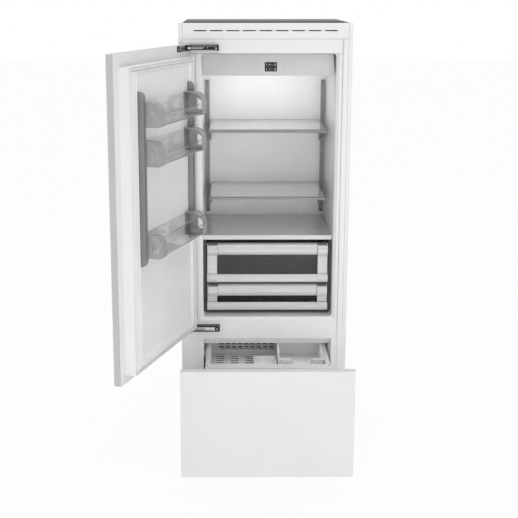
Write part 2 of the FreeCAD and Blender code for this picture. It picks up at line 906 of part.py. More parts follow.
def ceiling_light_cover():
    """A lens on the housing's sloping underside."""
    y0 = control_front + control_height / 2
    y1 = control_front + control_depth
    z0, z1 = control_bottom, control_bottom + control_height
    length = math.hypot(y1 - y0, z1 - z0)
    ny, nz = (z1 - z0) / length, -(y1 - y0) / length
    thick = lens_thickness
    start, end = 0.12, 0.88
    a = (y0 + (y1 - y0) * start, z0 + (z1 - z0) * start)
    b = (y0 + (y1 - y0) * end, z0 + (z1 - z0) * end)
    return profile_x([a, b, (b[0] + ny * thick, b[1] + nz * thick),
                      (a[0] + ny * thick, a[1] + nz * thick)],
                     control_left + lens_margin, control_right - lens_margin)


def shelf_rails():
    """Two channels on the back wall, each with a ladder of slots."""
    x0, x1 = ladder_left, ladder_left + ladder_width
    y0 = fridge_depth - ladder_depth
    rail = block(x0, x1, y0, fridge_depth, ladder_bottom, ladder_top)
    rail = rail.cut(block(x0 + ladder_wall, x1 - ladder_wall, y0 + ladder_wall,
                          fridge_depth + 1, ladder_bottom - 1, ladder_top + 1))
    for n in range(int((ladder_top - ladder_bottom - ladder_slot) / ladder_pitch)):
        z = ladder_bottom + ladder_slot + n * ladder_pitch
        rail = rail.cut(block(x0 + 0.35 * ladder_width, x1 - 0.35 * ladder_width,
                              y0 - 1, y0 + ladder_wall + 1, z, z + ladder_slot))
    return Part.makeCompound([rail, mirrored(rail)])


def shelf_frame(top):
    """Two tapered side brackets, hooked to the rails, with a rear bar and a front bar."""
    z = top - glass_thickness
    width = 2 * (middle - shelf_left)
    outline = [
        (shelf_back, z),
        (shelf_back, z - bracket_height),
        (shelf_back - bracket_foot, z - bracket_height),
        (shelf_back - 0.6 * bracket_height, z - 0.45 * bracket_height),
        (shelf_front + shelf_bar, z - bracket_nose),
        (shelf_front + shelf_bar, z),
    ]
    side = profile_x(outline, shelf_left, shelf_left + bracket_thickness)
    hooks = [block(shelf_left - hook_reach, shelf_left + bracket_thickness,
                   shelf_back - shelf_bar, shelf_back + sheet, top, top + hook_height)
             for top in (z - 1.4 * hook_height, z - bracket_height + hook_height / 2)]
    pair = [side, mirrored(side)] + hooks + [mirrored(h) for h in hooks]
    for y0 in (shelf_back - shelf_bar, shelf_front + shelf_bar):
        pair.append(block(shelf_left, shelf_left + width, y0, y0 + shelf_bar,
                          z - shelf_bar, z))
    return joined(pair)


def shelf_glass(top):
    pane = block(shelf_left, 2 * middle - shelf_left, shelf_front, shelf_back - ladder_wall,
                 top - glass_thickness, top)
    return eased(pane, glass_corner, (0, 0, 1), lambda p: p.y < shelf_front + 1)


def shelf_heights():
    return [cover_top + level * (control_bottom - cover_top) for level in shelf_levels]


# ---- crispers

def housing_top():
    return cover_top - glass_thickness


def crisper_housing():
    """The dark surround: side walls, back, floor and the shelf between the two drawers."""
    x0, x1 = housing_sides()
    z0, z1 = fridge_floor, housing_top()
    body = block(x0, x1, housing_front, housing_back, z0, z1)
    split = fridge_floor + lower_crisper_rise + lower_crisper_height + gap
    rooms = [
        (split + housing_floor, z1 + 1),
        (z0 + housing_floor, split),
    ]
    for low, high in rooms:
        body = body.cut(block(x0 + housing_wall, x1 - housing_wall, housing_front - 1,
                              housing_back - housing_wall, low, high))
    return joined([body] + crisper_ledges()).common(fridge_room())


def housing_sides():
    return opening_left + cover_side_gap, opening_right - cover_side_gap


def crisper_cover_glass():
    x0, x1 = housing_sides()
    return block(x0, x1, cover_front + cover_lap, housing_back - cover_lap,
                 cover_top - glass_thickness, cover_top)


def crisper_cover_trim():
    x0, x1 = housing_sides()
    bar = block(x0, x1, cover_front - cover_lap, housing_front,
                cover_top - cover_trim_height, cover_top)
    rebate = block(x0 - 1, x1 + 1, cover_front + cover_lap, housing_front + 1,
                   cover_top - glass_thickness, cover_top + 1)
    return eased(bar.cut(rebate), 0.75 * cover_lap, (1, 0, 0), lambda p: p.y < cover_front)


def crisper_ledges():
    """The bearers on the housing's side walls that the crisper tubs run on."""
    ledges = []
    for bottom, height in crisper_levels():
        z1 = bottom + height - crisper_handle + bearer_rise
        ledge = block(housing_sides()[0] + housing_wall, crisper_left + bearer_reach,
                      housing_front, housing_back - housing_wall, z1 - bearer_height, z1)
        ledges += [ledge, mirrored(ledge)]
    return ledges


def crisper_levels():
    """Lower edge and height of each drawer front."""
    return ((fridge_floor + upper_crisper_rise, upper_crisper_height),
            (fridge_floor + lower_crisper_rise, lower_crisper_height))


def crisper_tub(bottom, height):
    """An open tub whose side flanges ride on the bearers."""
    y0, y1 = crisper_front + crisper_front_depth, crisper_depth
    x0 = crisper_left + bearer_reach + seat_gap
    x1 = 2 * middle - x0
    flange_z = bottom + height - crisper_handle + bearer_rise + gap
    z0, z1 = bottom + tub_lift, flange_z + tub_wall
    tub = block(x0, x1, y0, y1, z0, z1)
    tub = eased(tub, tub_corner, (0, 0, 1), lambda p: p.y > y1 - 1)
    hollow = block(x0 + tub_wall, x1 - tub_wall, y0 + tub_wall, y1 - tub_wall,
                   z0 + tub_wall, z1 + 1)
    hollow = eased(hollow, tub_corner - tub_wall, (0, 0, 1),
                   lambda p: p.y > y1 - tub_wall - 1)
    reach = x0 - housing_sides()[0] - housing_wall - gap
    flanges = [block(x0 - reach, x0 + 1, y0, y1 - tub_corner, flange_z, z1),
               block(x1 - 1, x1 + reach, y0, y1 - tub_corner, flange_z, z1)]
    return joined([tub] + flanges).cut(hollow)


def crisper_frame(bottom, height):
    """The satin metal front: two stiles, a lower rail and the rail behind the handle."""
    x0, x1 = crisper_left, 2 * middle - crisper_left
    y0, y1 = crisper_front, crisper_front + crisper_front_depth
    front = block(x0, x1, y0, y1, bottom, bottom + height)
    front = eased(front, easing, (0, 0, 1), lambda p: p.y < y0 + 1)
    swell = profile_x([
        (y0 + 1, bottom), (y0 - 0.6 * front_swell, bottom),
        (y0 - front_swell, bottom + front_swell),
        (y0 - front_swell, bottom + 0.4 * crisper_rail),
        (y0 - 0.4 * front_swell, bottom + 0.85 * crisper_rail),
        (y0, bottom + crisper_rail), (y0 + 1, bottom + crisper_rail),
    ], x0 + easing, x1 - easing)
    window = block(x0 + stile_width, x1 - stile_width, y0 - front_swell, y1 + 1,
                   bottom + crisper_rail, bottom + height - crisper_handle)
    return joined([front, swell]).cut(window)


def crisper_window(bottom, height):
    x0 = crisper_left + stile_width
    y0 = crisper_front + window_thickness
    return block(x0, 2 * middle - x0, y0, y0 + window_thickness,
                 bottom + crisper_rail, bottom + height - crisper_handle)


def crisper_handle_bar(bottom, height):
    """A rounded bar with a finger ledge, between two solid end blocks."""
    x0 = crisper_left + handle_gap
    x1 = 2 * middle - x0
    top = bottom + height
    low = top - crisper_handle
    y0, y1 = crisper_front - handle_reach, crisper_front
    w = handle_wall
    ends = [block(x0, x0 + handle_end, y0 + w, y1, low, top - 2 * w),
            block(x1 - handle_end, x1, y0 + w, y1, low, top - 2 * w)]
    ends = [eased(e, 1.5 * w, (1, 0, 0), lambda p: p.y < y0 + w + 1) for e in ends]
    inner, outer = x0 + handle_end - 1, x1 - handle_end + 1
    bar = block(inner, outer, y0, y0 + 2 * w, low + w, top - 2 * w)
    bar = eased(bar, 0.9 * w, (1, 0, 0))
    ledge = block(inner, outer, y0 + w, y1, top - 3 * w, top - 2 * w)
    lip = block(inner, outer, y1 - w, y1, top - 3 * w, top)
    return joined(ends + [bar, ledge, lip])


# ---- hinges

def hinge_box(z):
    """The housing on the cabinet, open in front where the arm comes out."""
    top = z + hinge_height
    right = hinge_left + hinge_length
    box = block(hinge_left, right, -hinge_depth, 0, z, top)
    box = eased(box, hinge_easing, (0, 0, 1), lambda p: p.y < -1 and p.x > right - 1)
    box = eased(box, hinge_easing / 3, (0, 1, 0), lambda p: p.x < hinge_left + 1)
    wall = (hinge_height - leaf_height) / 2 - leaf_gap
    pocket = block(hinge_left + 2 * wall, right - 4 * wall, -hinge_depth - 1,
                   -hinge_depth + wall, z + wall, top - wall)
    return box.cut(pocket)


def hinge_leaf_levels(z):
    """Lower door leaf, cabinet leaf and upper door leaf, one above the other."""
    step = leaf_height + leaf_gap
    start = z + (hinge_height - 3 * leaf_height - 2 * leaf_gap) / 2
    return [(start + n * step, start + n * step + leaf_height) for n in range(3)]


def hinge_arm(z):
    """The cabinet's leaf on the hinge axis, with the pin through it."""
    (low, _), (z0, z1), (_, high) = hinge_leaf_levels(z)
    eye = rod(pivot_x, pivot_y, z0, knuckle_radius, z1 - z0, (0, 0, 1))
    web = profile_z([
        (pivot_x + 1, pivot_y - hinge_pin),
        (hinge_left + arm_thickness / 2, pivot_y - arm_thickness / 4),
        (hinge_left + 2.4 * arm_thickness, -hinge_depth - arm_thickness),
        (hinge_left + arm_length, -hinge_depth - arm_thickness),
        (hinge_left + arm_length, -hinge_depth),
        (hinge_left, -hinge_depth),
        (pivot_x - 1, pivot_y + knuckle_radius - 1),
    ], z0, z1)
    pin = rod(pivot_x, pivot_y, low, hinge_pin, high - low, (0, 0, 1))
    return joined([eye, web, pin])


def hinge_door_plate(z):
    """The plate on the door panel and its two knuckles."""
    x0 = hinge_left
    z0, z1 = hinge_leaf_levels(z)[0][0], hinge_leaf_levels(z)[2][1]
    base = block(x0, x0 + door_plate_length, panel_back, panel_back + door_plate_thickness,
                 z0, z1)
    base = eased(base, hinge_easing, (0, 1, 0), lambda p: p.x > x0 + 1)
    pieces = [base]
    for low, high in (hinge_leaf_levels(z)[0], hinge_leaf_levels(z)[2]):
        eye = rod(pivot_x, pivot_y, low, knuckle_radius, high - low, (0, 0, 1))
        web = profile_z([
            (pivot_x - 1, pivot_y - knuckle_radius),
            (x0 + 2 * knuckle_radius, panel_back + door_plate_thickness),
            (x0 + 2 * knuckle_radius, panel_back),
            (pivot_x, panel_back),
        ], low, high)
        pieces += [eye, web]
    plate_piece = joined(pieces)
    bore = rod(pivot_x, pivot_y, z0 - 1, hinge_pin + running_gap, z1 - z0 + 2, (0, 0, 1))
    plate_piece = plate_piece.cut(bore)
    _, (leaf_low, leaf_high), _ = hinge_leaf_levels(z)
    clear = rod(pivot_x, pivot_y, leaf_low - leaf_gap,
                knuckle_radius + knuckle_clearance,
                leaf_high - leaf_low + 2 * leaf_gap, (0, 0, 1))
    return opened(plate_piece.cut(clear))


# ---- door

def door_panel():
    slab = block(-half_panel, half_panel, panel_back - panel_thickness, panel_back,
                 door_bottom, door_top)
    return opened(eased(slab, easing, (0, 0, 1)))


def door_body():
    body = block(-half_panel + body_inset, half_panel - body_inset, panel_back,
                 panel_back + body_thickness,
                 door_bottom + body_bottom_inset, door_top - body_top_inset)
    return opened(eased(body, body_easing, (0, 1, 0)))


def door_liner():
    """A moulded skin: a flat flange, and a raised rim round a shallow tray."""
    y0 = liner_face
    x0, x1 = -half_panel + body_inset, half_panel - body_inset
    z0, z1 = door_bottom + body_bottom_inset, door_top - body_top_inset
    flange = block(x0, x1, y0, tray_face, z0, z1)
    low, high = door_bottom + dyke_bottom_inset, door_top - dyke_top_inset
    front = tray_face + dyke_reach
    raised = block(dyke_left, dyke_right, y0, front, low, high)
    raised = eased(raised, dyke_corner, (0, 1, 0))
    raised = raised.makeFillet(dyke_easing, [
        e for e in raised.Edges if abs(e.CenterOfMass.y - front) < 1e-6])
    left, right = dyke_left + dyke_left_width, dyke_right - dyke_right_width
    low, high = low + dyke_bottom_width, high - dyke_top_width

    def outline(wide, steep, y):
        corners = [FreeCAD.Vector(x, y, z) for x, z in (
            (left - steep, low - wide), (right + wide, low - wide),
            (right + wide, high + steep), (left - steep, high + steep))]
        return Part.makePolygon(corners + corners[:1])

    tray = Part.makeLoft([outline(0, 0, tray_face),
                          outline(dyke_draft, dyke_steep_draft, front + 1)], True)
    return opened(joined([flange, raised]).cut(tray))


def gasket(x0, x1, y0, z0, z1):
    seal = ring(x0, x1, y0, -gap, z0, z1, gasket_width)
    return eased(seal, gasket_easing, (0, 0, 1), lambda p: p.y > -1)


def door_gasket():
    x = half_panel - body_inset - gasket_inset
    return opened(gasket(-x, x, tray_face,
                         door_bottom + body_bottom_inset + gasket_inset,
                         door_top - body_top_inset - gasket_inset))


def bin_rail(x0):
    """A slotted upright that the door bins hook on to."""
    y0, y1 = tray_face, tray_face + bin_rail_reach
    rail = block(x0, x0 + bin_rail_width, y0, y1, bin_rail_bottom, bin_rail_top)
    rail = eased(rail, bin_rail_curve, (1, 0, 0), lambda p: p.y > y1 - 1)
    for low in (x0 - 1, x0 + bin_rail_width - bin_rail_groove):
        rail = rail.cut(block(low, low + 1 + bin_rail_groove, y0 + bin_rail_slot,
                              y1 - bin_rail_slot, bin_rail_bottom + bin_rail_curve,
                              bin_rail_top - bin_rail_curve))
    side = (bin_rail_width - bin_rail_slot) / 2
    for bottom in bin_bottoms:
        z = bottom + 0.75 * bin_height
        rail = rail.cut(block(x0 + side, x0 + bin_rail_width - side, y1 - bin_rail_slot,
                              y1 + 1, z, z + bin_rail_width))
    return rail


def bin_rails():
    return opened(Part.makeCompound([bin_rail(rail_left), bin_rail(rail_right)]))


def bin_sides():
    return (rail_left + bin_rail_width + seat_gap, rail_right - seat_gap)


def bin_back():
    return tray_face + 3 * seat_gap


def bin_end(low, inward, bottom):
    """One moulded end: a cup with a curved top and front, open towards the bin's middle."""
    y0, y1 = bin_back(), bin_back() + bin_depth
    top = bottom + bin_height
    wall = bin_wall

    def shape(x0, x1, inset):
        body = block(x0, x1, y0 + inset, y1 - inset, bottom + inset, top - inset)
        body = eased(body, bin_curve - inset, (1, 0, 0),
                     lambda p: p.y > y1 - inset - 1 and p.z > top - inset - 1)
        return eased(body, bin_heel - inset, (1, 0, 0),
                     lambda p: p.y > y1 - inset - 1 and p.z < bottom + inset + 1)

    far = low + inward * bin_cup
    cup = shape(min(low, far), max(low, far), 0)
    start, stop = low + inward * wall, far + inward
    cup = cup.cut(shape(min(start, stop), max(start, stop), wall))
    y, z = y0 + bin_window_left, bottom + bin_window_low
    w, h = bin_window_width, bin_window_height
    window = profile_x([(y, z), (y + w, z), (y + w, z + 0.52 * h), (y + 0.5 * w, z + 0.86 * h),
                        (y + 0.15 * w, z + h), (y, z + h)],
                       min(low, start) - 1, max(low, start) + 1)
    return cup.cut(window)


def bin_ends(bottom):
    left, right = bin_sides()
    return opened(Part.makeCompound([bin_end(left, 1, bottom), bin_end(right, -1, bottom)]))


def bin_tray(bottom):
    """The clear trough between the ends: a tall back, a low front with a thick rim."""
    x0, x1 = bin_sides()
    x0, x1 = x0 + bin_wall, x1 - bin_wall
    y0, y1 = bin_back() + bin_wall, bin_back() + bin_depth - bin_wall
    z0, wall = bottom + bin_wall, trough_wall
    front = bottom + bin_height - bin_curve
    outline = block(x0, x1, y0, y1, z0, bottom + bin_height - bin_wall)
    outline = eased(outline, bin_heel - bin_wall, (1, 0, 0),
                    lambda p: p.z < z0 + 1 and p.y > y1 - 1)
    hollow = block(x0 - 1, x1 + 1, y0 + wall, y1 - wall, z0 + wall, bottom + bin_height)
    hollow = eased(hollow, bin_heel - bin_wall - wall, (1, 0, 0),
                   lambda p: p.z < z0 + wall + 1 and p.y > y1 - wall - 1)
    above = block(x0 - 1, x1 + 1, y0 + wall, y1 + 1, front, bottom + bin_height)
    rim = block(x0, x1, y1 - trough_rim, y1, front - trough_rim, front)
    rim = eased(rim, trough_rim / 3, (1, 0, 0), lambda p: p.z > front - 1)
    return opened(joined([outline.cut(hollow).cut(above), rim]))


# ---- freezer drawer

def drawer_panel():
    slab = block(-half_panel, half_panel, panel_back - panel_thickness, panel_back,
                 drawer_bottom, drawer_top)
    return pulled(eased(slab, easing, (0, 0, 1)), drawer_travel)


def drawer_body_limits():
    return (-half_panel + body_inset, half_panel - body_inset,
            drawer_bottom + drawer_body_bottom_inset, drawer_top - drawer_body_top_inset)


def drawer_body():
    x0, x1, z0, z1 = drawer_body_limits()
    body = block(x0, x1, panel_back, drawer_face, z0, z1)
    return pulled(eased(body, body_easing, (0, 1, 0)), drawer_travel)


def drawer_liner():
    x0, x1, z0, z1 = drawer_body_limits()
    skin = block(x0, x1, drawer_face, drawer_face + drawer_skin, z0, z1)
    plateau = block(opening_left + plateau_margin, opening_right - plateau_margin,
                    drawer_face, box_front,
                    freezer_floor + plateau_margin, freezer_top - 2 * plateau_margin)
    return pulled(joined([skin, eased(plateau, plateau_margin, (0, 1, 0))]), drawer_travel)


def drawer_gasket():
    x0, x1, z0, z1 = drawer_body_limits()
    seal = gasket(x0 + gasket_inset, x1 - gasket_inset, drawer_face + drawer_skin,
                  z0 + gasket_inset, z1 - gasket_inset)
    return pulled(seal, drawer_travel)


def drawer_box():
    """The deep white basket with its rolled rim."""
    x0, x1 = opening_left + box_side, opening_right - box_side
    body = block(x0, x1, box_front, box_back, box_bottom, box_top)
    body = eased(body, box_corner, (0, 0, 1), lambda p: p.y > box_back - 1)
    hollow = block(x0 + box_wall, x1 - box_wall, box_front + box_wall, box_back - box_wall,
                   box_bottom + box_wall, box_top + 1)
    hollow = eased(hollow, box_corner - box_wall, (0, 0, 1),
                   lambda p: p.y > box_back - box_wall - 1)
    low, back = box_top - 2 * box_wall, box_back - box_corner
    rims = [block(x0 - box_rim, x0 + 1, box_front, back, low, box_top),
            block(x1 - 1, x1 + box_rim, box_front, back, low, box_top)]
    return pulled(joined([body] + rims).cut(hollow), drawer_travel)


def channel(x0, x1, z0, z1, wall, web_left, y0, y1):
    """A C section along Y, open to one side."""
    solid = block(x0, x1, y0, y1, z0, z1)
    low, high = (x0 + wall, x1 + 1) if web_left else (x0 - 1, x1 - wall)
    return solid.cut(block(low, high, y0 - 1, y1 + 1, z0 + wall, z1 - wall))


def slide_members():
    """Fixed, middle and drawer members of the left slide, nested and closed."""
    z0, z1 = slide_bottom, slide_bottom + slide_height
    y0, y1 = slide_front, slide_front + slide_length
    wall = slide_wall
    fixed = channel(opening_left, opening_left + slide_reach, z0, z1, wall, True, y0, y1)
    x = opening_left + wall + gap
    inset = wall + gap
    centre = channel(x, x + slide_reach + wall, z0 + inset, z1 - inset, wall, True, y0, y1)
    x = x + wall + gap
    inset = 2 * inset
    moving = channel(x, opening_left + box_side, z0 + inset, z1 - inset, wall, False,
                     y0 - drawer_overtravel, y1 - drawer_overtravel)
    return fixed, centre, moving


def slide_pair(index, distance):
    left = slide_members()[index]
    return pulled(Part.makeCompound([left, mirrored(left)]), distance)


def tray_runners():
    runner = block(opening_left, tray_inside()[0] - tray_wall,
                   tray_front + tray_rim_corner, tray_back,
                   tray_rim_top - tray_rim_thickness - gap - runner_height,
                   tray_rim_top - tray_rim_thickness - gap)
    return Part.makeCompound([runner, mirrored(runner)])


def tray_inside():
    x0 = opening_left + tray_side_gap + tray_rim_width
    return x0, 2 * middle - x0


def freezer_tray_frame():
    """White rim, side walls, front and floor of the sliding tray."""
    x0, x1 = tray_inside()
    rim_x0, rim_x1 = x0 - tray_rim_width, x1 + tray_rim_width
    rim_low = tray_rim_top - tray_rim_thickness
    rim = block(rim_x0, rim_x1, tray_front, tray_back, rim_low, tray_rim_top)
    rim = eased(rim, tray_rim_corner, (0, 0, 1), lambda p: p.y < tray_front + 1)
    wall_front = tray_front + 2 * tray_wall
    walls = block(x0, x1, wall_front, tray_back, tray_bottom, tray_rim_top)
    hollow = block(x0 + tray_wall, x1 - tray_wall, tray_front + tray_lip, tray_back + 1,
                   tray_bottom + tray_wall, tray_rim_top + 1)
    front_pocket = block(x0 + tray_wall, x1 - tray_wall, wall_front + tray_wall,
                         tray_front + tray_lip - tray_wall, tray_bottom - 1, rim_low)
    return pulled(joined([rim, walls]).cut(hollow).cut(front_pocket), tray_travel)


def freezer_tray_grid():
    """The grey slotted floor and back of the tray, bent from one sheet."""
    x0, x1 = tray_inside()
    x0, x1 = x0 + tray_wall, x1 - tray_wall
    z0 = tray_bottom + tray_wall
    floor = block(x0, x1, tray_front + tray_lip, tray_back, z0, z0 + grid_thickness)
    back = block(x0, x1, tray_back - grid_thickness, tray_back,
                 z0, tray_rim_top - tray_rim_thickness)
    slots = []
    for group_number in range(3):
        left = x0 + grid_margin + group_number * slot_group_pitch
        for row in range(8):
            y = tray_back - grid_margin - (row + 1) * slot_pitch + slot_width
            slots.append(block(left, left + slot_length, y, y + slot_width,
                               z0 - 1, z0 + grid_thickness + 1))
    for row in range(2):
        z = tray_rim_top - (row + 2) * grid_margin
        for n in range(int((x1 - x0 - 2 * grid_margin) / back_slot_pitch)):
            x = x0 + 2 * grid_margin + n * back_slot_pitch
            slots.append(block(x, x + back_slot_length, tray_back - 2 * grid_thickness,
                               tray_back + 1, z, z + back_slot_height))
    return pulled(joined([floor, back]).cut(slots[0].multiFuse(slots[1:])), tray_travel)


def tray_floor():
    return tray_bottom + tray_wall + grid_thickness


def basket_left():
    return tray_inside()[1] - tray_wall - basket_width


def ice_bin():
    x1 = basket_left() - bin_spacing
    x0 = x1 - ice_bin_width
    y1 = tray_back - grid_thickness
    y0 = y1 - ice_bin_depth
    z0, z1 = tray_floor(), tray_floor() + ice_bin_height
    wall = ice_bin_wall
    body = eased(block(x0, x1, y0, y1, z0, z1), 4 * wall, (0, 0, 1))
    hollow = eased(block(x0 + wall, x1 - wall, y0 + wall, y1 - wall, z0 + wall, z1 + 1),
                   3 * wall, (0, 0, 1))
    return pulled(body.cut(hollow), tray_travel)


def notched_basket():
    x0, x1 = basket_left(), basket_left() + basket_width
    y0, y1 = tray_front + basket_front_gap, tray_back - grid_thickness
    z0, z1 = tray_floor(), tray_rim_top - basket_wall
    wall = basket_wall
    body = eased(block(x0, x1, y0, y1, z0, z1), 4 * wall, (0, 0, 1), lambda p: p.y < y0 + 1)
    hollow = block(x0 + wall, x1 - wall, y0 + wall + basket_lip, y1 - wall, z0 + wall, z1 + 1)
    under = block(x0 + wall, x1 - wall, y0 + wall, y0 + basket_lip, z0 - 1, z1 - wall)
    centre = (x0 + x1) / 2
    half = notch_width / 2
    notch = Part.Face(Part.makePolygon([
        FreeCAD.Vector(centre + dx, y0 - 1, z1 + dz) for dx, dz in (
            (-half, 1), (-half + notch_slope, -notch_depth), (half - notch_slope, -notch_depth),
            (half, 1), (-half, 1))])).extrude(FreeCAD.Vector(0, basket_lip + 2 * wall, 0))
    return pulled(body.cut(hollow).cut(under).cut(notch), tray_travel)


# ---- evaporator

def evaporator_cover():
    back = evaporator_front + cover_thickness
    cover = block(opening_left, opening_right, evaporator_front, back, step_top, freezer_top)
    rise = freezer_top - step_top
    for z in (step_top + 0.17 * rise, step_top + 0.73 * rise):
        for n in range(8):
            x = middle - coil_offset + n * back_slot_pitch
            cover = cover.cut(block(x, x + back_slot_length, evaporator_front - 1, back + 1,
                                    z, z + back_slot_height))
    x, z = evaporator_fan_place()
    return cover.cut(rod(x, evaporator_front - 1, z, 0.9 * evaporator_fan_radius(),
                         cover_thickness + 2, (0, 1, 0)))


def evaporator_fan_radius():
    return 0.2 * (freezer_top - step_top)


def evaporator_fan_place():
    return opening_left + evaporator_fan_inset, (step_top + freezer_top) / 2


def evaporator_fan_middle():
    return evaporator_front + cover_thickness + gap + evaporator_fan_depth / 2


def evaporator_fan():
    x, z = evaporator_fan_place()
    wheel = fan_blades(evaporator_fan_radius(), evaporator_fan_depth, 24)
    wheel.rotate(FreeCAD.Vector(), FreeCAD.Vector(1, 0, 0), 90)
    wheel.translate(FreeCAD.Vector(x, evaporator_fan_middle(), z))
    return wheel


def evaporator_fan_motor():
    x, z = evaporator_fan_place()
    y = evaporator_fan_middle() + evaporator_fan_depth / 2 + plate
    motor = rod(x, y, z, fan_motor_radius, freezer_depth - y, (0, 1, 0))
    length = evaporator_fan_depth + plate
    shaft = rod(x, y - length, z, fan_shaft, length, (0, 1, 0))
    return joined([motor, shaft])


def evaporator_coil():
    x0 = middle - coil_offset
    y0, y1 = evaporator_front + 3 * cover_thickness, freezer_depth
    low, high = step_top + coil_margin, freezer_top - coil_margin
    pieces = [block(x0 + n * fin_pitch, x0 + n * fin_pitch + fin_thickness, y0, y1, low, high)
              for n in range(coil_fins)]
    for z in (low + 2 * coil_margin, high - 2 * coil_margin):
        pieces.append(tube(x0 - tube_radius, (y0 + y1) / 2, z,
                           (coil_fins - 1) * fin_pitch + 2 * tube_radius))
    return joined(pieces)


# ---- every piece by name

def group(*shapes):
    return Part.makeCompound([solid for shape in shapes for solid in shape.Solids])


def of_each(make, heights):
    return Part.makeCompound([make(height) for height in heights])


pieces = {
    "outer_casing": group(outer_casing(), rear_panel(), machine_cover()),
    "insulation_foam": foam(),
    "fridge_liner": fridge_liner(),
    "freezer_liner": group(freezer_liner(), tray_runners()),
    "front_frame": group(front_frame(), fascia()),
    "side_trims": group(side_trim(-1), side_trim(1)),
    "top_cover": top_cover(),
    "top_grille": top_grille(),
    "base_frame": group(base_frame(), foot_brackets(), roller_forks(), machine_tray()),
    "levelling_feet": levelling_feet(),
    "roller_left": roller(-1),
    "roller_right": roller(1),
    "toe_kick": toe_kick(),
    "compressor": compressor(),
    "condenser": group(condenser(), drain_pan()),
    "condenser_fan": condenser_fan(),
    "condenser_fan_shroud": condenser_fan_shroud(),
    "control_housing": control_housing(),
    "display_window": display_window(),
    "ceiling_light_cover": ceiling_light_cover(),
    "shelf_rails": shelf_rails(),
    "shelf_glasses": of_each(shelf_glass, shelf_heights()),
    "shelf_frames": of_each(shelf_frame, shelf_heights()),
    "crisper_housing": crisper_housing(),
    "crisper_cover_glass": crisper_cover_glass(),
    "crisper_cover_trim": crisper_cover_trim(),
    "hinge_boxes": of_each(hinge_box, hinge_heights),
    "hinge_arms": of_each(hinge_arm, hinge_heights),
    "hinge_door_plates": of_each(hinge_door_plate, hinge_heights),
    "door_panel": door_panel(),
    "door_body": door_body(),
    "door_liner": door_liner(),
    "door_gasket": door_gasket(),
    "bin_rails": bin_rails(),
    "drawer_panel": drawer_panel(),
    "drawer_body": group(drawer_body(), drawer_liner()),
    "drawer_gasket": drawer_gasket(),
    "drawer_box": drawer_box(),
    "drawer_slides_fixed": slide_pair(0, 0),
    "drawer_slides_middle": slide_pair(1, drawer_travel / 2),
    "drawer_slides_moving": slide_pair(2, drawer_travel),
    "freezer_tray_frame": freezer_tray_frame(),
    "freezer_tray_grid": freezer_tray_grid(),
    "ice_bin": ice_bin(),
    "notched_basket": notched_basket(),
    "evaporator_cover": group(evaporator_cover(), evaporator_fan_motor()),
    "evaporator_coil": evaporator_coil(),
    "evaporator_fan": evaporator_fan(),
}
for name, (bottom, height) in zip(("upper", "lower"), crisper_levels()):
    pieces[name + "_crisper_tub"] = crisper_tub(bottom, height)
    pieces[name + "_crisper_front"] = group(crisper_frame(bottom, height),
                                            crisper_handle_bar(bottom, height))
    pieces[name + "_crisper_window"] = crisper_window(bottom, height)
for name, bottom in zip(("top", "middle", "bottom"), bin_bottoms):
    pieces[name + "_bin_ends"] = bin_ends(bottom)
    pieces[name + "_bin_tray"] = bin_tray(bottom)
for name, shape in pieces.items():
    write(name, shape)
print(len(pieces), "pieces")
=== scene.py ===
import math
import bpy
import bmesh
from mathutils import Matrix, Vector


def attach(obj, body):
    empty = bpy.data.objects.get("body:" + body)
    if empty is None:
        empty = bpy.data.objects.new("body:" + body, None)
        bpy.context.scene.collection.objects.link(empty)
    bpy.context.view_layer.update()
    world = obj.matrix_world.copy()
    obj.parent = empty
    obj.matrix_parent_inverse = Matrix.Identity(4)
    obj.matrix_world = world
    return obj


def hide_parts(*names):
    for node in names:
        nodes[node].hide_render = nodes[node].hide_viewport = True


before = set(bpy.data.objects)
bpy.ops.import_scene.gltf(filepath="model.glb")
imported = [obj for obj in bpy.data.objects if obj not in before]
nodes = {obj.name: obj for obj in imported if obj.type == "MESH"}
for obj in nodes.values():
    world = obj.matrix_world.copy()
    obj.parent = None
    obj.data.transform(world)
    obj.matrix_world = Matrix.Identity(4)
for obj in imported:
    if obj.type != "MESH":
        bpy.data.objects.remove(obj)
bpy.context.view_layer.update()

scene = bpy.context.scene
mm = 0.001
print("frame loaded:", len(nodes), "nodes")


# ---- finishes

def toLinear(hexColour):
    channels = [int(hexColour[i:i + 2], 16) / 255 for i in (1, 3, 5)]
    return tuple(c / 12.92 if c <= 0.04045 else ((c + 0.055) / 1.055) ** 2.4
                 for c in channels) + (1.0,)


def addNode(tree, kind, settings=None, inputs=None):
    node = tree.nodes.new(kind)
    for name, value in (settings or {}).items():
        setattr(node, name, value)
    for socket, value in (inputs or {}).items():
        if isinstance(value, bpy.types.NodeSocket):
            tree.links.new(value, node.inputs[socket])
        else:
            node.inputs[socket].default_value = value
    return node


def patternPlace(tree, size):
    # object coordinates, scaled so that one unit of pattern is size millimetres on each axis
    place = addNode(tree, "ShaderNodeTexCoord")
    return addNode(tree, "ShaderNodeMapping", inputs={
        "Vector": place.outputs["Object"],
        "Scale": tuple(1 / (s * mm) for s in size)}).outputs["Vector"]


finishes = {}


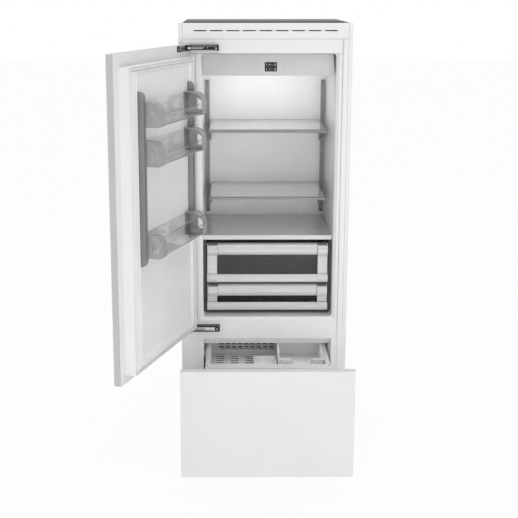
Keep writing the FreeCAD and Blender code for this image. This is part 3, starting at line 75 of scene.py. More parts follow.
def newFinish(slotName, name, look):
    # a base shader with a drift of tone, a drift of gloss and a fine relief
    material = bpy.data.materials.new(name)
    material.use_nodes = True
    tree = material.node_tree
    shader = tree.nodes["Principled BSDF"]
    shader.inputs["Metallic"].default_value = look.get("metallic", 0.0)
    if "coat" in look:
        shader.inputs["Coat Weight"].default_value = look["coat"]
        shader.inputs["Coat Roughness"].default_value = look["coatRoughness"]
    tone = addNode(tree, "ShaderNodeTexNoise", inputs={
        "Vector": patternPlace(tree, look["toneSize"]),
        "Scale": 1.0, "Detail": 3.0, "Roughness": 0.55})
    blend = addNode(tree, "ShaderNodeMapRange", inputs={
        "Value": tone.outputs["Fac"], "From Min": 0.3, "From Max": 0.7})
    mix = addNode(tree, "ShaderNodeMix", {"data_type": "RGBA"}, {
        "Factor": blend.outputs["Result"]})
    mix.inputs[6].default_value = toLinear(look["colour"])
    mix.inputs[7].default_value = toLinear(look["shade"])
    tree.links.new(mix.outputs[2], shader.inputs["Base Color"])
    grain = addNode(tree, look.get("grainKind", "ShaderNodeTexNoise"), inputs={
        "Vector": patternPlace(tree, look["grainSize"]), "Scale": 1.0})
    grainOut = grain.outputs["Distance" if "Distance" in grain.outputs else "Fac"]
    gloss = addNode(tree, "ShaderNodeMapRange", inputs={
        "Value": grainOut, "To Min": look["roughness"][0], "To Max": look["roughness"][1]})
    tree.links.new(gloss.outputs["Result"], shader.inputs["Roughness"])
    relief = addNode(tree, "ShaderNodeBump", inputs={
        "Height": grainOut, "Strength": look.get("reliefStrength", 0.3),
        "Distance": look["relief"] * mm})
    tree.links.new(relief.outputs["Normal"], shader.inputs["Normal"])
    if "glow" in look:
        shader.inputs["Emission Color"].default_value = toLinear(look["colour"])
        shader.inputs["Emission Strength"].default_value = look["glow"]
    finishes[slotName] = material


def newClearFinish(slotName, name, look):
    # a see-through shader that lets the lamps' light through, so what is behind stays lit
    material = bpy.data.materials.new(name)
    material.use_nodes = True
    tree = material.node_tree
    shader = tree.nodes["Principled BSDF"]
    shader.inputs["Transmission Weight"].default_value = look.get("clear", 1.0)
    shader.inputs["IOR"].default_value = look["ior"]
    tone = addNode(tree, "ShaderNodeTexNoise", inputs={
        "Vector": patternPlace(tree, look["toneSize"]), "Scale": 1.0, "Detail": 2.0})
    mix = addNode(tree, "ShaderNodeMix", {"data_type": "RGBA"}, {"Factor": tone.outputs["Fac"]})
    mix.inputs[6].default_value = toLinear(look["colour"])
    mix.inputs[7].default_value = toLinear(look["shade"])
    tree.links.new(mix.outputs[2], shader.inputs["Base Color"])
    gloss = addNode(tree, "ShaderNodeMapRange", inputs={
        "Value": tone.outputs["Fac"], "To Min": look["roughness"][0],
        "To Max": look["roughness"][1]})
    tree.links.new(gloss.outputs["Result"], shader.inputs["Roughness"])
    path = addNode(tree, "ShaderNodeLightPath")
    through = addNode(tree, "ShaderNodeBsdfTransparent")
    through.inputs["Color"].default_value = toLinear(look["shadow"])
    both = addNode(tree, "ShaderNodeMixShader", inputs={
        0: path.outputs["Is Shadow Ray"], 1: shader.outputs["BSDF"], 2: through.outputs["BSDF"]})
    out = tree.nodes["Material Output"]
    tree.links.new(both.outputs["Shader"], out.inputs["Surface"])
    finishes[slotName] = material


# sprayed powder coat on steel: a faint orange peel breaks the highlights
newFinish("white_enamel", "powder_coated_steel", {
    "colour": "#ECECEC", "shade": "#E9E9E9", "toneSize": (180, 180, 180),
    "grainSize": (2.2, 2.2, 2.2), "roughness": (0.30, 0.42), "relief": 0.03})
# satin lacquer sprayed on board: flatter and softer than the enamel, and set greyer than it as
# painted shade, to offset the stronger front light on the forward panels
newFinish("white_panel", "satin_lacquered_board", {
    "colour": "#E1E1E1", "shade": "#DEDEDE", "toneSize": (260, 260, 260),
    "grainSize": (1.4, 1.4, 1.4), "roughness": (0.42, 0.52), "relief": 0.015})
# vacuum-formed polystyrene: slightly glossy, with a long soft waviness
newFinish("white_liner", "formed_polystyrene", {
    "colour": "#E9E9E9", "shade": "#E4E4E4", "toneSize": (140, 140, 140),
    "grainSize": (9, 9, 9), "roughness": (0.24, 0.36), "relief": 0.05})
# hot-dip galvanised sheet: crystals a few millimetres across, each with its own sheen
newFinish("zinc_steel", "galvanised_sheet", {
    "colour": "#A9ACAF", "shade": "#8F9397", "metallic": 0.9, "toneSize": (22, 22, 22),
    "grainKind": "ShaderNodeTexVoronoi", "grainSize": (7, 7, 7),
    "roughness": (0.34, 0.55), "relief": 0.02})
# dipped black paint on steel: even and dull, with a little dust in the film
newFinish("black_steel", "stoved_black_steel", {
    "colour": "#1D1E20", "shade": "#26272A", "toneSize": (40, 40, 40),
    "grainSize": (1.0, 1.0, 1.0), "roughness": (0.35, 0.5), "relief": 0.03})
newFinish("dark_steel", "phosphated_steel", {   # grey conversion coat, matt and mottled
    "colour": "#5B5E61", "shade": "#4A4D50", "metallic": 0.7, "toneSize": (30, 30, 30),
    "grainSize": (1.6, 1.6, 1.6), "roughness": (0.45, 0.6), "relief": 0.02})
# barrel-polished nickel plate: mirror-like, with a faint haze from handling
newFinish("bright_steel", "polished_nickel_plate", {
    "colour": "#D9D8D6", "shade": "#CFCECB", "metallic": 1.0, "toneSize": (12, 12, 12),
    "grainSize": (0.8, 0.8, 0.8), "roughness": (0.08, 0.2), "relief": 0.008})
# belt-brushed stainless: fine lines along the width, drawn coarse enough to show
newFinish("satin_steel", "brushed_stainless", {
    "colour": "#E2E2E2", "shade": "#D8D8D9", "metallic": 0.45, "toneSize": (160, 30, 12),
    "grainSize": (60, 1.0, 0.6), "roughness": (0.33, 0.37), "relief": 0.002})
# moulded grey ABS with a spark-eroded texture
newFinish("grey_plastic", "textured_grey_abs", {
    "colour": "#D2D3D4", "shade": "#CCCDCE", "toneSize": (50, 50, 50),
    "grainSize": (0.7, 0.7, 0.7), "roughness": (0.34, 0.48), "relief": 0.02})
newFinish("dark_plastic", "dark_grey_abs", {    # the same, in the crisper surround's grey
    "colour": "#5A5C5F", "shade": "#4E5053", "toneSize": (70, 70, 70),
    "grainSize": (0.9, 0.9, 0.9), "roughness": (0.36, 0.52), "relief": 0.02})
newFinish("black_plastic", "moulded_black_nylon", {   # glass-filled, so a little rough
    "colour": "#151617", "shade": "#1E1F21", "toneSize": (18, 18, 18),
    "grainSize": (0.6, 0.6, 0.6), "roughness": (0.32, 0.5), "relief": 0.02})
newFinish("grey_nylon", "cast_grey_nylon", {    # waxy, worn smooth on the tread
    "colour": "#8E8F8C", "shade": "#7F807D", "toneSize": (16, 16, 16),
    "grainSize": (1.2, 1.2, 1.2), "roughness": (0.4, 0.55), "relief": 0.02})
newFinish("grey_rubber", "extruded_grey_vinyl", {    # soft seal, near white: painted light, so its deep channel does not read shaded
    "colour": "#DEDFE0", "shade": "#D6D7D8", "toneSize": (35, 35, 35),
    "grainSize": (0.8, 0.8, 0.8), "roughness": (0.55, 0.7), "relief": 0.015})
# poured polyurethane: a skin full of small pits
newFinish("foam", "poured_urethane", {
    "colour": "#E3D9B4", "shade": "#D5C89B", "toneSize": (25, 25, 25),
    "grainKind": "ShaderNodeTexVoronoi", "grainSize": (2.4, 2.4, 2.4),
    "roughness": (0.75, 0.9), "relief": 0.4, "reliefStrength": 0.6})
newFinish("fins", "rolled_aluminium_fin", {     # bright foil, dulled by a clear coat
    "colour": "#C5C8CB", "shade": "#B2B6BA", "metallic": 0.95, "toneSize": (9, 9, 30),
    "grainSize": (0.6, 0.6, 12), "roughness": (0.28, 0.42), "relief": 0.01})
# opal acrylic over the lamps: a milky, evenly lit face
newFinish("lens", "opal_acrylic", {
    "colour": "#F6F6F4", "shade": "#F0F0EE", "glow": 1.5, "toneSize": (60, 60, 60),
    "grainSize": (3, 3, 3), "roughness": (0.3, 0.4), "relief": 0.02})
# black-printed back of a clear film: deep, glossy black
newFinish("dark_glass", "printed_black_film", {
    "colour": "#2A2B2D", "shade": "#232426", "coat": 0.6, "coatRoughness": 0.08,
    "toneSize": (20, 20, 20), "grainSize": (1.5, 1.5, 1.5),
    "roughness": (0.14, 0.22), "relief": 0.005})
# toughened float glass: a green cast that gathers at its ground edges; about a seventh of it is
# white diffuse, a painted reflection that lightens the plates as the bright top of the cabinet
# mirrored in them would
newClearFinish("clear_glass", "toughened_float_glass", {
    "ior": 1.5, "clear": 0.86, "colour": "#FBFCFC", "shade": "#F5F8F7", "shadow": "#F4F5F5",
    "toneSize": (120, 120, 120), "roughness": (0.0, 0.03)})
# injection-moulded clear polystyrene: flow marks blur it slightly
newClearFinish("clear_plastic", "clear_polystyrene", {
    "ior": 1.45, "colour": "#FAFAFA", "shade": "#F3F4F4", "shadow": "#F0F1F1",
    "toneSize": (40, 40, 40), "roughness": (0.02, 0.08)})
newClearFinish("smoked_glass", "smoked_acrylic", {   # grey-dyed sheet behind the metal frame
    "ior": 1.49, "colour": "#767676", "shade": "#6C6C6C", "shadow": "#808080",
    "toneSize": (90, 90, 90), "roughness": (0.03, 0.08)})
# toughened glass printed grey on its back: half of the light goes on through
newClearFinish("tinted_glass", "grey_printed_glass", {
    "ior": 1.5, "clear": 0.45, "colour": "#E8E8E8", "shade": "#E0E0E0", "shadow": "#D0D0D0",
    "toneSize": (120, 120, 120), "roughness": (0.06, 0.1)})
# clear-anodised aluminium extrusion: satin, drawn lines along its length
newFinish("anodised", "anodised_aluminium", {
    "colour": "#A0A0A1", "shade": "#969697", "metallic": 0.5, "toneSize": (20, 20, 220),
    "grainSize": (0.8, 0.8, 60), "roughness": (0.28, 0.4), "relief": 0.006})
newFinish("edge_band", "painted_edge_shade", {    # grey for the door's free edge: painted shade, the edge darker than the lit front
    "colour": "#C4C4C4", "shade": "#BEBEBE", "toneSize": (30, 30, 300),
    "grainSize": (0.8, 0.8, 20), "roughness": (0.4, 0.5), "relief": 0.01})
# silver lacquer on moulded plastic: metal flake under a soft clear coat
newFinish("silver", "silver_lacquered_abs", {
    "colour": "#ABABAC", "shade": "#A1A1A2", "metallic": 0.25, "coat": 0.3,
    "coatRoughness": 0.2, "toneSize": (40, 40, 40),
    "grainSize": (0.5, 0.5, 0.5), "roughness": (0.3, 0.42), "relief": 0.008})

# pieces that wear another finish than their slot's
worn = {"crisper_cover_glass": "tinted_glass", "shelf_rails": "anodised",
        "bin_rails": "anodised", "shelf_frames": "anodised",
        "top_bin_ends": "silver", "middle_bin_ends": "silver", "bottom_bin_ends": "silver",
        "hinge_door_plates": "black_steel", "freezer_tray_frame": "white_enamel",
        "notched_basket": "white_enamel"}
for name, node in nodes.items():
    for spot in node.material_slots:
        spot.material = finishes[worn.get(name, spot.material.name.split(".")[0])]
print("finishes:", len(finishes))


# ---- places of the moving pieces, so that they can be made closed and then set as shown

doorPlace = {"pivotX": -351.0, "pivotY": -48.0, "angle": -110.4}
drawerPlace = {"travel": 460.0, "trayTravel": 190.0}
pivot = Vector((doorPlace["pivotX"], doorPlace["pivotY"], 0)) * mm
doorTurn = (Matrix.Translation(pivot)
            @ Matrix.Rotation(math.radians(doorPlace["angle"]), 4, "Z")
            @ Matrix.Translation(-pivot))
drawerShift = Matrix.Translation((0, -drawerPlace["travel"] * mm, 0))
trayShift = Matrix.Translation((0, -drawerPlace["trayTravel"] * mm, 0))


def addPiece(name, mesh, body, finish, place=None):
    if place is not None:
        mesh.transform(place)
    piece = bpy.data.objects.new(name, mesh)
    scene.collection.objects.link(piece)
    mesh.materials.clear()
    mesh.materials.append(finishes[finish])
    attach(piece, body)
    return piece


def smoothEdges(mesh, angle=35):
    mesh.shade_smooth()
    mesh.set_sharp_from_angle(angle=math.radians(angle))


# ---- shapes shared by the pieces; sizes in millimetres

def addBlock(build, low, high, bevel=0.0, segments=2):
    made = bmesh.ops.create_cube(build, size=1.0)["verts"]
    low, high = Vector(low) * mm, Vector(high) * mm
    for vert in made:
        vert.co = (low + high) / 2 + Vector(
            (high - low)[i] * vert.co[i] for i in range(3))
    if bevel:
        edges = list(dict.fromkeys(edge for vert in made for edge in vert.link_edges))
        bmesh.ops.bevel(build, geom=edges, offset=bevel * mm, segments=segments,
                        profile=0.5, affect="EDGES", clamp_overlap=True)


def addDisc(build, place, facing, radius, height, sides, taper):
    # a short round post standing on place, along facing; taper is its top over its foot
    turn = Vector(facing).to_track_quat("Z", "Y").to_matrix().to_4x4()
    middle = Vector(place) * mm + Vector(facing).normalized() * height * mm / 2
    bmesh.ops.create_cone(build, cap_ends=True, segments=sides, radius1=radius * mm,
                          radius2=radius * taper * mm, depth=height * mm,
                          matrix=Matrix.Translation(middle) @ turn)


def addStrip(build, outline, low, high):
    # an outline of (y, z) points drawn out along x from low to high
    ends = [[build.verts.new(Vector((x, y, z)) * mm) for y, z in outline] for x in (low, high)]
    faces = [build.faces.new(ends[0]), build.faces.new(ends[1])]
    for n in range(len(outline)):
        m = (n + 1) % len(outline)
        faces.append(build.faces.new((ends[0][n], ends[0][m], ends[1][m], ends[1][n])))
    bmesh.ops.recalc_face_normals(build, faces=faces)


def finishMesh(build, name, angle=35):
    mesh = bpy.data.meshes.new(name)
    build.normal_update()
    build.to_mesh(mesh)
    build.free()
    smoothEdges(mesh, angle)
    return mesh


# ---- screws: one tree puts a cross-head screw on each point of a seed mesh

def makeScrewTree():
    tree = bpy.data.node_groups.new("cross_head_screws", "GeometryNodeTree")
    for name, kind in (("Geometry", "NodeSocketGeometry"), ("Head Radius", "NodeSocketFloat"),
                       ("Head Height", "NodeSocketFloat"), ("Slot Width", "NodeSocketFloat"),
                       ("Finish", "NodeSocketMaterial")):
        tree.interface.new_socket(name, in_out="INPUT", socket_type=kind)
    tree.interface.new_socket("Geometry", in_out="OUTPUT", socket_type="NodeSocketGeometry")
    given = addNode(tree, "NodeGroupInput").outputs
    head = addNode(tree, "GeometryNodeMeshCone", inputs={
        "Vertices": 20, "Radius Bottom": given["Head Radius"], "Depth": given["Head Height"],
        "Radius Top": addNode(tree, "ShaderNodeMath", {"operation": "MULTIPLY"}, {
            0: given["Head Radius"], 1: 0.72}).outputs[0]})
    length = addNode(tree, "ShaderNodeMath", {"operation": "MULTIPLY"}, {
        0: given["Head Radius"], 1: 1.1}).outputs[0]
    bars = []
    for across in (False, True):
        size = addNode(tree, "ShaderNodeCombineXYZ", inputs={
            "X": length if across else given["Slot Width"],
            "Y": given["Slot Width"] if across else length, "Z": given["Head Height"]})
        bars.append(addNode(tree, "GeometryNodeMeshCube", inputs={
            "Size": size.outputs[0]}).outputs["Mesh"])
    lift = addNode(tree, "ShaderNodeCombineXYZ", inputs={"Z": given["Head Height"]})
    cut = head.outputs["Mesh"]
    for bar in bars:
        raised = addNode(tree, "GeometryNodeTransform", inputs={
            "Geometry": bar, "Translation": lift.outputs[0]})
        cutter = addNode(tree, "GeometryNodeMeshBoolean", {
            "operation": "DIFFERENCE", "solver": "EXACT"}, {"Mesh 1": cut})
        tree.links.new(raised.outputs[0], cutter.inputs["Mesh 2"])
        cut = cutter.outputs["Mesh"]
    facing = addNode(tree, "GeometryNodeInputNamedAttribute", {"data_type": "FLOAT_VECTOR"},
                     {"Name": "facing"})
    turn = addNode(tree, "FunctionNodeAlignRotationToVector", {"axis": "Z"}, {
        "Vector": facing.outputs["Attribute"]})
    points = addNode(tree, "GeometryNodeMeshToPoints", inputs={"Mesh": given["Geometry"]})
    placed = addNode(tree, "GeometryNodeInstanceOnPoints", inputs={
        "Points": points.outputs[0], "Instance": cut, "Rotation": turn.outputs[0]})
    real = addNode(tree, "GeometryNodeRealizeInstances", inputs={
        "Geometry": placed.outputs[0]})
    done = addNode(tree, "GeometryNodeSetMaterial", inputs={
        "Geometry": real.outputs[0], "Material": given["Finish"]})
    addNode(tree, "NodeGroupOutput", inputs={"Geometry": done.outputs[0]})
    return tree


def grow(name, seed, tree, values):
    # the tree's result on a seed mesh, as a plain mesh
    grower = bpy.data.objects.new(name, seed)
    scene.collection.objects.link(grower)
    modifier = grower.modifiers.new(name, "NODES")
    modifier.node_group = tree
    for socket in tree.interface.items_tree:
        if socket.in_out == "INPUT" and socket.name in values:
            modifier[socket.identifier] = values[socket.name]
    made = grower.evaluated_get(bpy.context.evaluated_depsgraph_get())
    mesh = bpy.data.meshes.new_from_object(made)
    mesh.name = name
    grower.modifiers.remove(modifier)
    bpy.data.objects.remove(grower)
    return mesh


def pointSeed(name, points):
    seed = bpy.data.meshes.new(name + "_seed")
    seed.from_pydata([Vector(place) * mm for place, facing in points], [], [])
    facing = seed.attributes.new("facing", "FLOAT_VECTOR", "POINT")
    for n, (place, direction) in enumerate(points):
        facing.data[n].vector = direction
    return seed


screwTree = makeScrewTree()
screwLook = {
    "ladder_rail_screws": {"body": "cabinet", "finish": "dark_steel", "radius": 4.0, "height": 2.0,
        "points": [((x, 521, z), (0, -1, 0)) for x in (-276, 310)
                   for z in (1134, 1798)]},
    "rear_panel_screws": {"body": "cabinet", "finish": "zinc_steel", "radius": 4.5, "height": 2.2,
        "points": [((x, 598.2, z), (0, 1, 0)) for x in (-365, 365)
                   for z in range(330, 2100, 250)]
                  + [((x, 598.2, z), (0, 1, 0)) for x in (-365, -120, 120, 365)
                     for z in (45, 282)]
                  + [((x, 598.2, 2095), (0, 1, 0)) for x in (-240, -80, 80, 240)]},
    "top_cover_screws": {"body": "cabinet", "finish": "black_steel", "radius": 4.0, "height": 1.0,
        "points": [((x, y, 2109), (0, 0, 1)) for x in (-340, 340) for y in (30, 225)]},
    "side_trim_screws": {"body": "cabinet", "finish": "zinc_steel", "radius": 4.2, "height": 1.6,
        "points": [((side * 381, 40, z), (side, 0, 0)) for side in (-1, 1)
                   for z in (300, 800, 1400, 1900)]},
    "grille_screws": {"body": "cabinet", "finish": "white_enamel", "radius": 3.2, "height": 1.0,
        "points": [((x, 0, 2073), (0, -1, 0)) for x in (-366, 366)]},
    "bin_rail_screws": {"body": "door", "finish": "dark_steel", "radius": 4.0, "height": 1.4,
        "place": doorTurn,
        "points": [((x, 12, z), (0, 1, 0)) for x in (-259, 253) for z in (1240, 1500, 1825)]},
    "tray_rim_screws": {"body": "freezer_tray", "finish": "dark_steel", "radius": 3.6,
        "height": 1.2, "place": trayShift,
        "points": [((x, 70, 515), (0, 0, 1)) for x in (-271, 305)]},
}
for name, look in screwLook.items():
    screws = grow(name, pointSeed(name, look["points"]), screwTree, {
        "Head Radius": look["radius"] * mm, "Head Height": look["height"] * mm,
        "Slot Width": look["radius"] * 0.3 * mm, "Finish": finishes[look["finish"]]})
    smoothEdges(screws, 30)
    addPiece(name, screws, look["body"], look["finish"], look.get("place"))
print("screws set:", sum(len(look["points"]) for look in screwLook.values()))


# ---- magnetic seals: beads swept round a rectangle, each with its own thickness

def makeSealTree():
    tree = bpy.data.node_groups.new("bellows_seal", "GeometryNodeTree")
    for name, kind in (("Geometry", "NodeSocketGeometry"), ("Corner Radius", "NodeSocketFloat"),
                       ("Corner Steps", "NodeSocketInt"), ("Bead Sides", "NodeSocketInt"),
                       ("Finish", "NodeSocketMaterial")):
        tree.interface.new_socket(name, in_out="INPUT", socket_type=kind)
    tree.interface.new_socket("Geometry", in_out="OUTPUT", socket_type="NodeSocketGeometry")
    given = addNode(tree, "NodeGroupInput").outputs
    path = addNode(tree, "GeometryNodeMeshToCurve", inputs={"Mesh": given["Geometry"]})
    rounded = addNode(tree, "GeometryNodeFilletCurve", {"mode": "POLY"}, {
        "Curve": path.outputs[0], "Radius": given["Corner Radius"],
        "Count": given["Corner Steps"]})
    thickness = addNode(tree, "GeometryNodeInputNamedAttribute", {"data_type": "FLOAT"},
                        {"Name": "bead"})
    sized = addNode(tree, "GeometryNodeSetCurveRadius", inputs={
        "Curve": rounded.outputs[0], "Radius": thickness.outputs["Attribute"]})
    circle = addNode(tree, "GeometryNodeCurvePrimitiveCircle", {"mode": "RADIUS"}, {
        "Resolution": given["Bead Sides"], "Radius": 1.0})
    swept = addNode(tree, "GeometryNodeCurveToMesh", inputs={
        "Curve": sized.outputs[0], "Profile Curve": circle.outputs["Curve"],
        "Scale": thickness.outputs["Attribute"]})
    real = addNode(tree, "GeometryNodeRealizeInstances", inputs={"Geometry": swept.outputs[0]})
    done = addNode(tree, "GeometryNodeSetMaterial", inputs={
        "Geometry": real.outputs[0], "Material": given["Finish"]})
    addNode(tree, "NodeGroupOutput", inputs={"Geometry": done.outputs[0]})
    return tree


# across the seal's width: place of each bead, its height off the liner and its thickness;
# one corner step cuts each corner straight across
sealLook = {"beads": [(2.2, 1.9, 1.9), (4.6, 3.3, 1.5), (7.2, 5.2, 2.9), (10.0, 3.4, 1.5),
                      (12.2, 1.9, 1.9), (5.6, 1.3, 1.2), (9.2, 1.3, 1.2)],
            "corner": 12.0, "cornerSteps": 1, "sides": 10}
sealTree = makeSealTree()


def makeSeal(name, node, body, x0, x1, y0, z0, z1, place):
    corners, edges, beads = [], [], []
    for across, off, thick in sealLook["beads"]:
        start = len(corners)
        corners += [Vector((x, y0 + off, z)) * mm for x, z in (
            (x0 + across, z0 + across), (x1 - across, z0 + across),
            (x1 - across, z1 - across), (x0 + across, z1 - across))]
        edges += [(start + n, start + (n + 1) % 4) for n in range(4)]
        beads += [thick * mm] * 4
    seed = bpy.data.meshes.new(name + "_path")
    seed.from_pydata(corners, edges, [])
    bead = seed.attributes.new("bead", "FLOAT", "POINT")
    bead.data.foreach_set("value", beads)
    mesh = grow(name, seed, sealTree, {
        "Corner Radius": sealLook["corner"] * mm, "Corner Steps": sealLook["cornerSteps"],
        "Bead Sides": sealLook["sides"], "Finish": finishes["grey_rubber"]})
    seal = addPiece(name, mesh, body, "grey_rubber", place)
    smoothEdges(mesh, 60)
    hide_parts(node)


makeSeal("door_seal", "door_gasket", "door", -331, 331, -11, 694, 1957, doorTurn)
makeSeal("drawer_seal", "drawer_gasket", "drawer", -331, 331, -9, 186, 621, drawerShift)
print("seals swept")


# ---- door liner: rounded rings from the flange's edge over a low rim down to the tray's floor

# each ring: left, right, bottom, top, height off the door and corner radius
linerLook = {"cornerSteps": 5, "rings": [
    (-335, 335, 690, 1961, -14.0, 6), (-335, 335, 690, 1961, -9.2, 6),
    (-334.4, 334.4, 690.6, 1960.4, -8.3, 5.6), (-333, 333, 692, 1959, -8.0, 5),
    (-332, 332, 693, 1958, -8.6, 4.6), (-331.4, 331.4, 693.6, 1957.4, -11.0, 4.4),
    (-316.8, 316.8, 708.4, 1942.8, -11.0, 12), (-316, 316, 709.2, 1942, -7.2, 12),
    (-314.6, 314.6, 710.4, 1941.2, -5.4, 12), (-312, 312, 712, 1940.6, -4.9, 12),
    (-285, 284, 716, 1940, -4.8, 12), (-283.6, 283, 717.4, 1939.4, -3.4, 12),
    (-281, 281, 720, 1937.6, -2.6, 12), (-278.6, 279, 722.6, 1935.6, -3.4, 12),
    (-277, 277, 725, 1934, -5.4, 12), (-270.6, 266.6, 750, 1929.6, -10.2, 12),
    (-269, 263.4, 758, 1927, -11.0, 12)]}


def roundedRing(build, left, right, low, high, y, radius, steps):
    ring = []
    for cornerX, cornerZ, start in ((right - radius, high - radius, 0),
                                    (left + radius, high - radius, 90),
                                    (left + radius, low + radius, 180),
                                    (right - radius, low + radius, 270)):
        for n in range(steps + 1):
            turn = math.radians(start + 90 * n / steps)
            ring.append(build.verts.new(Vector((
                cornerX + radius * math.cos(turn), y, cornerZ + radius * math.sin(turn))) * mm))
    return ring


liner = bmesh.new()
rings = [roundedRing(liner, *ring, linerLook["cornerSteps"]) for ring in linerLook["rings"]]
for outer, inner in zip(rings, rings[1:]):
    for n in range(len(outer)):
        m = (n + 1) % len(outer)
        liner.faces.new((outer[n], outer[m], inner[m], inner[n]))
liner.faces.new(rings[0])
liner.faces.new(rings[-1])
bmesh.ops.recalc_face_normals(liner, faces=liner.faces[:])
innerLiner = addPiece("door_inner_liner", finishMesh(liner, "door_inner_liner", 40), "door",
                      "white_liner", doorTurn)
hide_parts("door_liner")
print("door liner formed")


# ---- painted shade on the door's free edge, and the lips of its bin rails

# a grey strip on the panel's free edge as painted shade, and dark lips along the outer sides of
# the bin rails
edgeShadeLook = {"x": 377.9, "y": (-86.5, -56.5), "z": (655.5, 2011.5), "proud": 0.4}
lipLook = {"sides": (-266.3, -252.3, 245.7, 259.7), "thickness": 0.6,
           "root": ((-10.9, 1142), (-9.0, 1859)), "edge": ((15.2, 1168), (17.6, 1833))}
edgeShade = bmesh.new()
addBlock(edgeShade, (edgeShadeLook["x"], edgeShadeLook["y"][0], edgeShadeLook["z"][0]),
         (edgeShadeLook["x"] + edgeShadeLook["proud"], edgeShadeLook["y"][1], edgeShadeLook["z"][1]), 0.15, 1)
addPiece("door_edge_shade", finishMesh(edgeShade, "door_edge_shade"), "door", "edge_band", doorTurn)
lips = bmesh.new()
for x in lipLook["sides"]:
    for low, high in (lipLook["root"], lipLook["edge"]):
        addBlock(lips, (x, *low), (x + lipLook["thickness"], *high), 0.2, 1)
addPiece("bin_rail_lips", finishMesh(lips, "bin_rail_lips"), "door", "dark_steel", doorTurn)
print("door edge and rail lips set")


# ---- crisper grips: a bowed satin bar between two thicker end caps, over the CAD's bar

gripLook = {"capLength": 48.0, "bow": 6.0, "capBow": 8.0,
            "tops": {"upper": 1068.0, "lower": 865.0}, "height": 53.0,
            "ends": (-268.5, 302.5), "front": 36.0, "splitShadeWidth": 1.2}


def bowed(y, z0, z1, bow, back, steps=10):
    # a flat back at y + back, a front that bows out from y between z0 and z1
    curve = [(y - bow * math.sin(math.pi * n / steps) ** 0.7,
              z0 + (z1 - z0) * n / steps) for n in range(steps + 1)]
    return [(y + back, z0)] + curve + [(y + back, z1)]


for level, top in gripLook["tops"].items():
    low = top - gripLook["height"]
    x0, x1 = gripLook["ends"]
    y = gripLook["front"]
    cap = gripLook["capLength"]
    grip = bmesh.new()
    addStrip(grip, bowed(y, low + 3, top - 9, gripLook["bow"], 6), x0 + cap, x1 - cap)
    ledge = [(y + 4, top - 11), (y + 4, top - 3), (y + 8, top - 1.5), (y + 20, top - 1.5),
             (y + 20, top - 11)]
    addStrip(grip, ledge, x0 + cap, x1 - cap)
    addPiece(level + "_crisper_grip", finishMesh(grip, level + "_grip", 40),
             level + "_crisper", "satin_steel")
    caps = bmesh.new()
    for start in (x0 - 1, x1 - cap + 1):
        addStrip(caps, bowed(y - 1, low - 1, top - 6.5, gripLook["capBow"], 8), start, start + cap)
    addPiece(level + "_crisper_grip_caps", finishMesh(caps, level + "_caps", 40),
             level + "_crisper", "satin_steel")
    # dark plastic strips: painted shade in the recesses above, below and beside each end cap
    gapShade = bmesh.new()
    for start in (x0, x1 - cap):      # painted shade above and below each end cap, in the recess over it and the shadow under it
        addBlock(gapShade, (start, y + 23, top - 7), (start + cap, y + 25, top + 0.4), 0.3, 1)
        addBlock(gapShade, (start, y + 3, low - 2.6), (start + cap, y + 18, low - 0.8), 0.3, 1)
    for x in (x0 + cap - 0.2, x1 - cap - 1.0):      # painted shade in the split between each end cap and the bar
        addBlock(gapShade, (x, y - 7.4, low + 2), (x + gripLook["splitShadeWidth"], y + 4, top - 8), 0.3, 1)
    addPiece(level + "_crisper_gaps", finishMesh(gapShade, level + "_gaps"), level + "_crisper",
             "dark_plastic")
print("crisper grips:", len(gripLook["tops"]))


# ---- crisper corner blocks and the vent lines behind the smoked windows

crisperLook = {
    "upper": {"bottom": 876.0, "vents": (928.0, 946.0, 962.0)},
    "lower": {"bottom": 736.0, "vents": (784.0,)},
}
cornerLook = {"starts": (-273.5, 259.5), "length": 48, "height": 40, "front": 52.5, "bow": 4.5}
ventLook = {"starts": (-155, -27, 101), "length": 66, "height": 1.8, "y": (68.4, 69.4)}
for level, look in crisperLook.items():
    blocks = bmesh.new()
    low = look["bottom"] + 1
    for start in cornerLook["starts"]:
        addStrip(blocks, bowed(cornerLook["front"], low, low + cornerLook["height"],
                               cornerLook["bow"], 5), start, start + cornerLook["length"])
    addPiece(level + "_crisper_corners", finishMesh(blocks, level + "_corners", 40),
             level + "_crisper", "satin_steel")
    vents = bmesh.new()
    for z in look["vents"]:
        for x in ventLook["starts"]:
            addBlock(vents, (x, ventLook["y"][0], z),
                     (x + ventLook["length"], ventLook["y"][1], z + ventLook["height"]), 0.4, 1)
    addPiece(level + "_crisper_vents", finishMesh(vents, level + "_vents"),
             level + "_crisper", "grey_plastic")
print("crisper corners and vents:", len(crisperLook))


# ---- control panel: a bevelled fascia plate, touch marks and the display's four fields

panelLook = {"low": (-287.0, 49.0, 1869.5), "high": (313.0, 51.0, 1966.0), "bevel": 1.2,
             "dots": (-34.0, 85.0), "dotLevels": (1898.0, 1914.0), "dotRadius": 1.9}
plate = bmesh.new()
addBlock(plate, panelLook["low"], panelLook["high"], panelLook["bevel"])
addPiece("control_fascia", finishMesh(plate, "control_fascia"), "cabinet", "grey_plastic")
dots = bmesh.new()
for x in panelLook["dots"]:
    for z in panelLook["dotLevels"]:
        addDisc(dots, (x, 49.2, z), (0, -1, 0), panelLook["dotRadius"], 0.6, 20, 0.8)
addPiece("touch_dots", finishMesh(dots, "touch_dots"), "cabinet", "dark_plastic")
fieldLook = {"columns": (-0.4, 27.4), "rows": (1887.6, 1908.4), "width": 25.6, "height": 19.4,
             "marks": [(5, 6.6, 6, 14), (17, 24, 8.4, 11.4), (29, 33, 8.4, 9.6),
                       (43.5, 48.5, 5, 8), (43.5, 48.5, 10, 14)], "markFront": (47.5, 48.2)}
fields = bmesh.new()
marks = bmesh.new()
for x in fieldLook["columns"]:
    for z in fieldLook["rows"]:
        addBlock(fields, (x, 47.9, z), (x + fieldLook["width"], 49, z + fieldLook["height"]), 0.5)
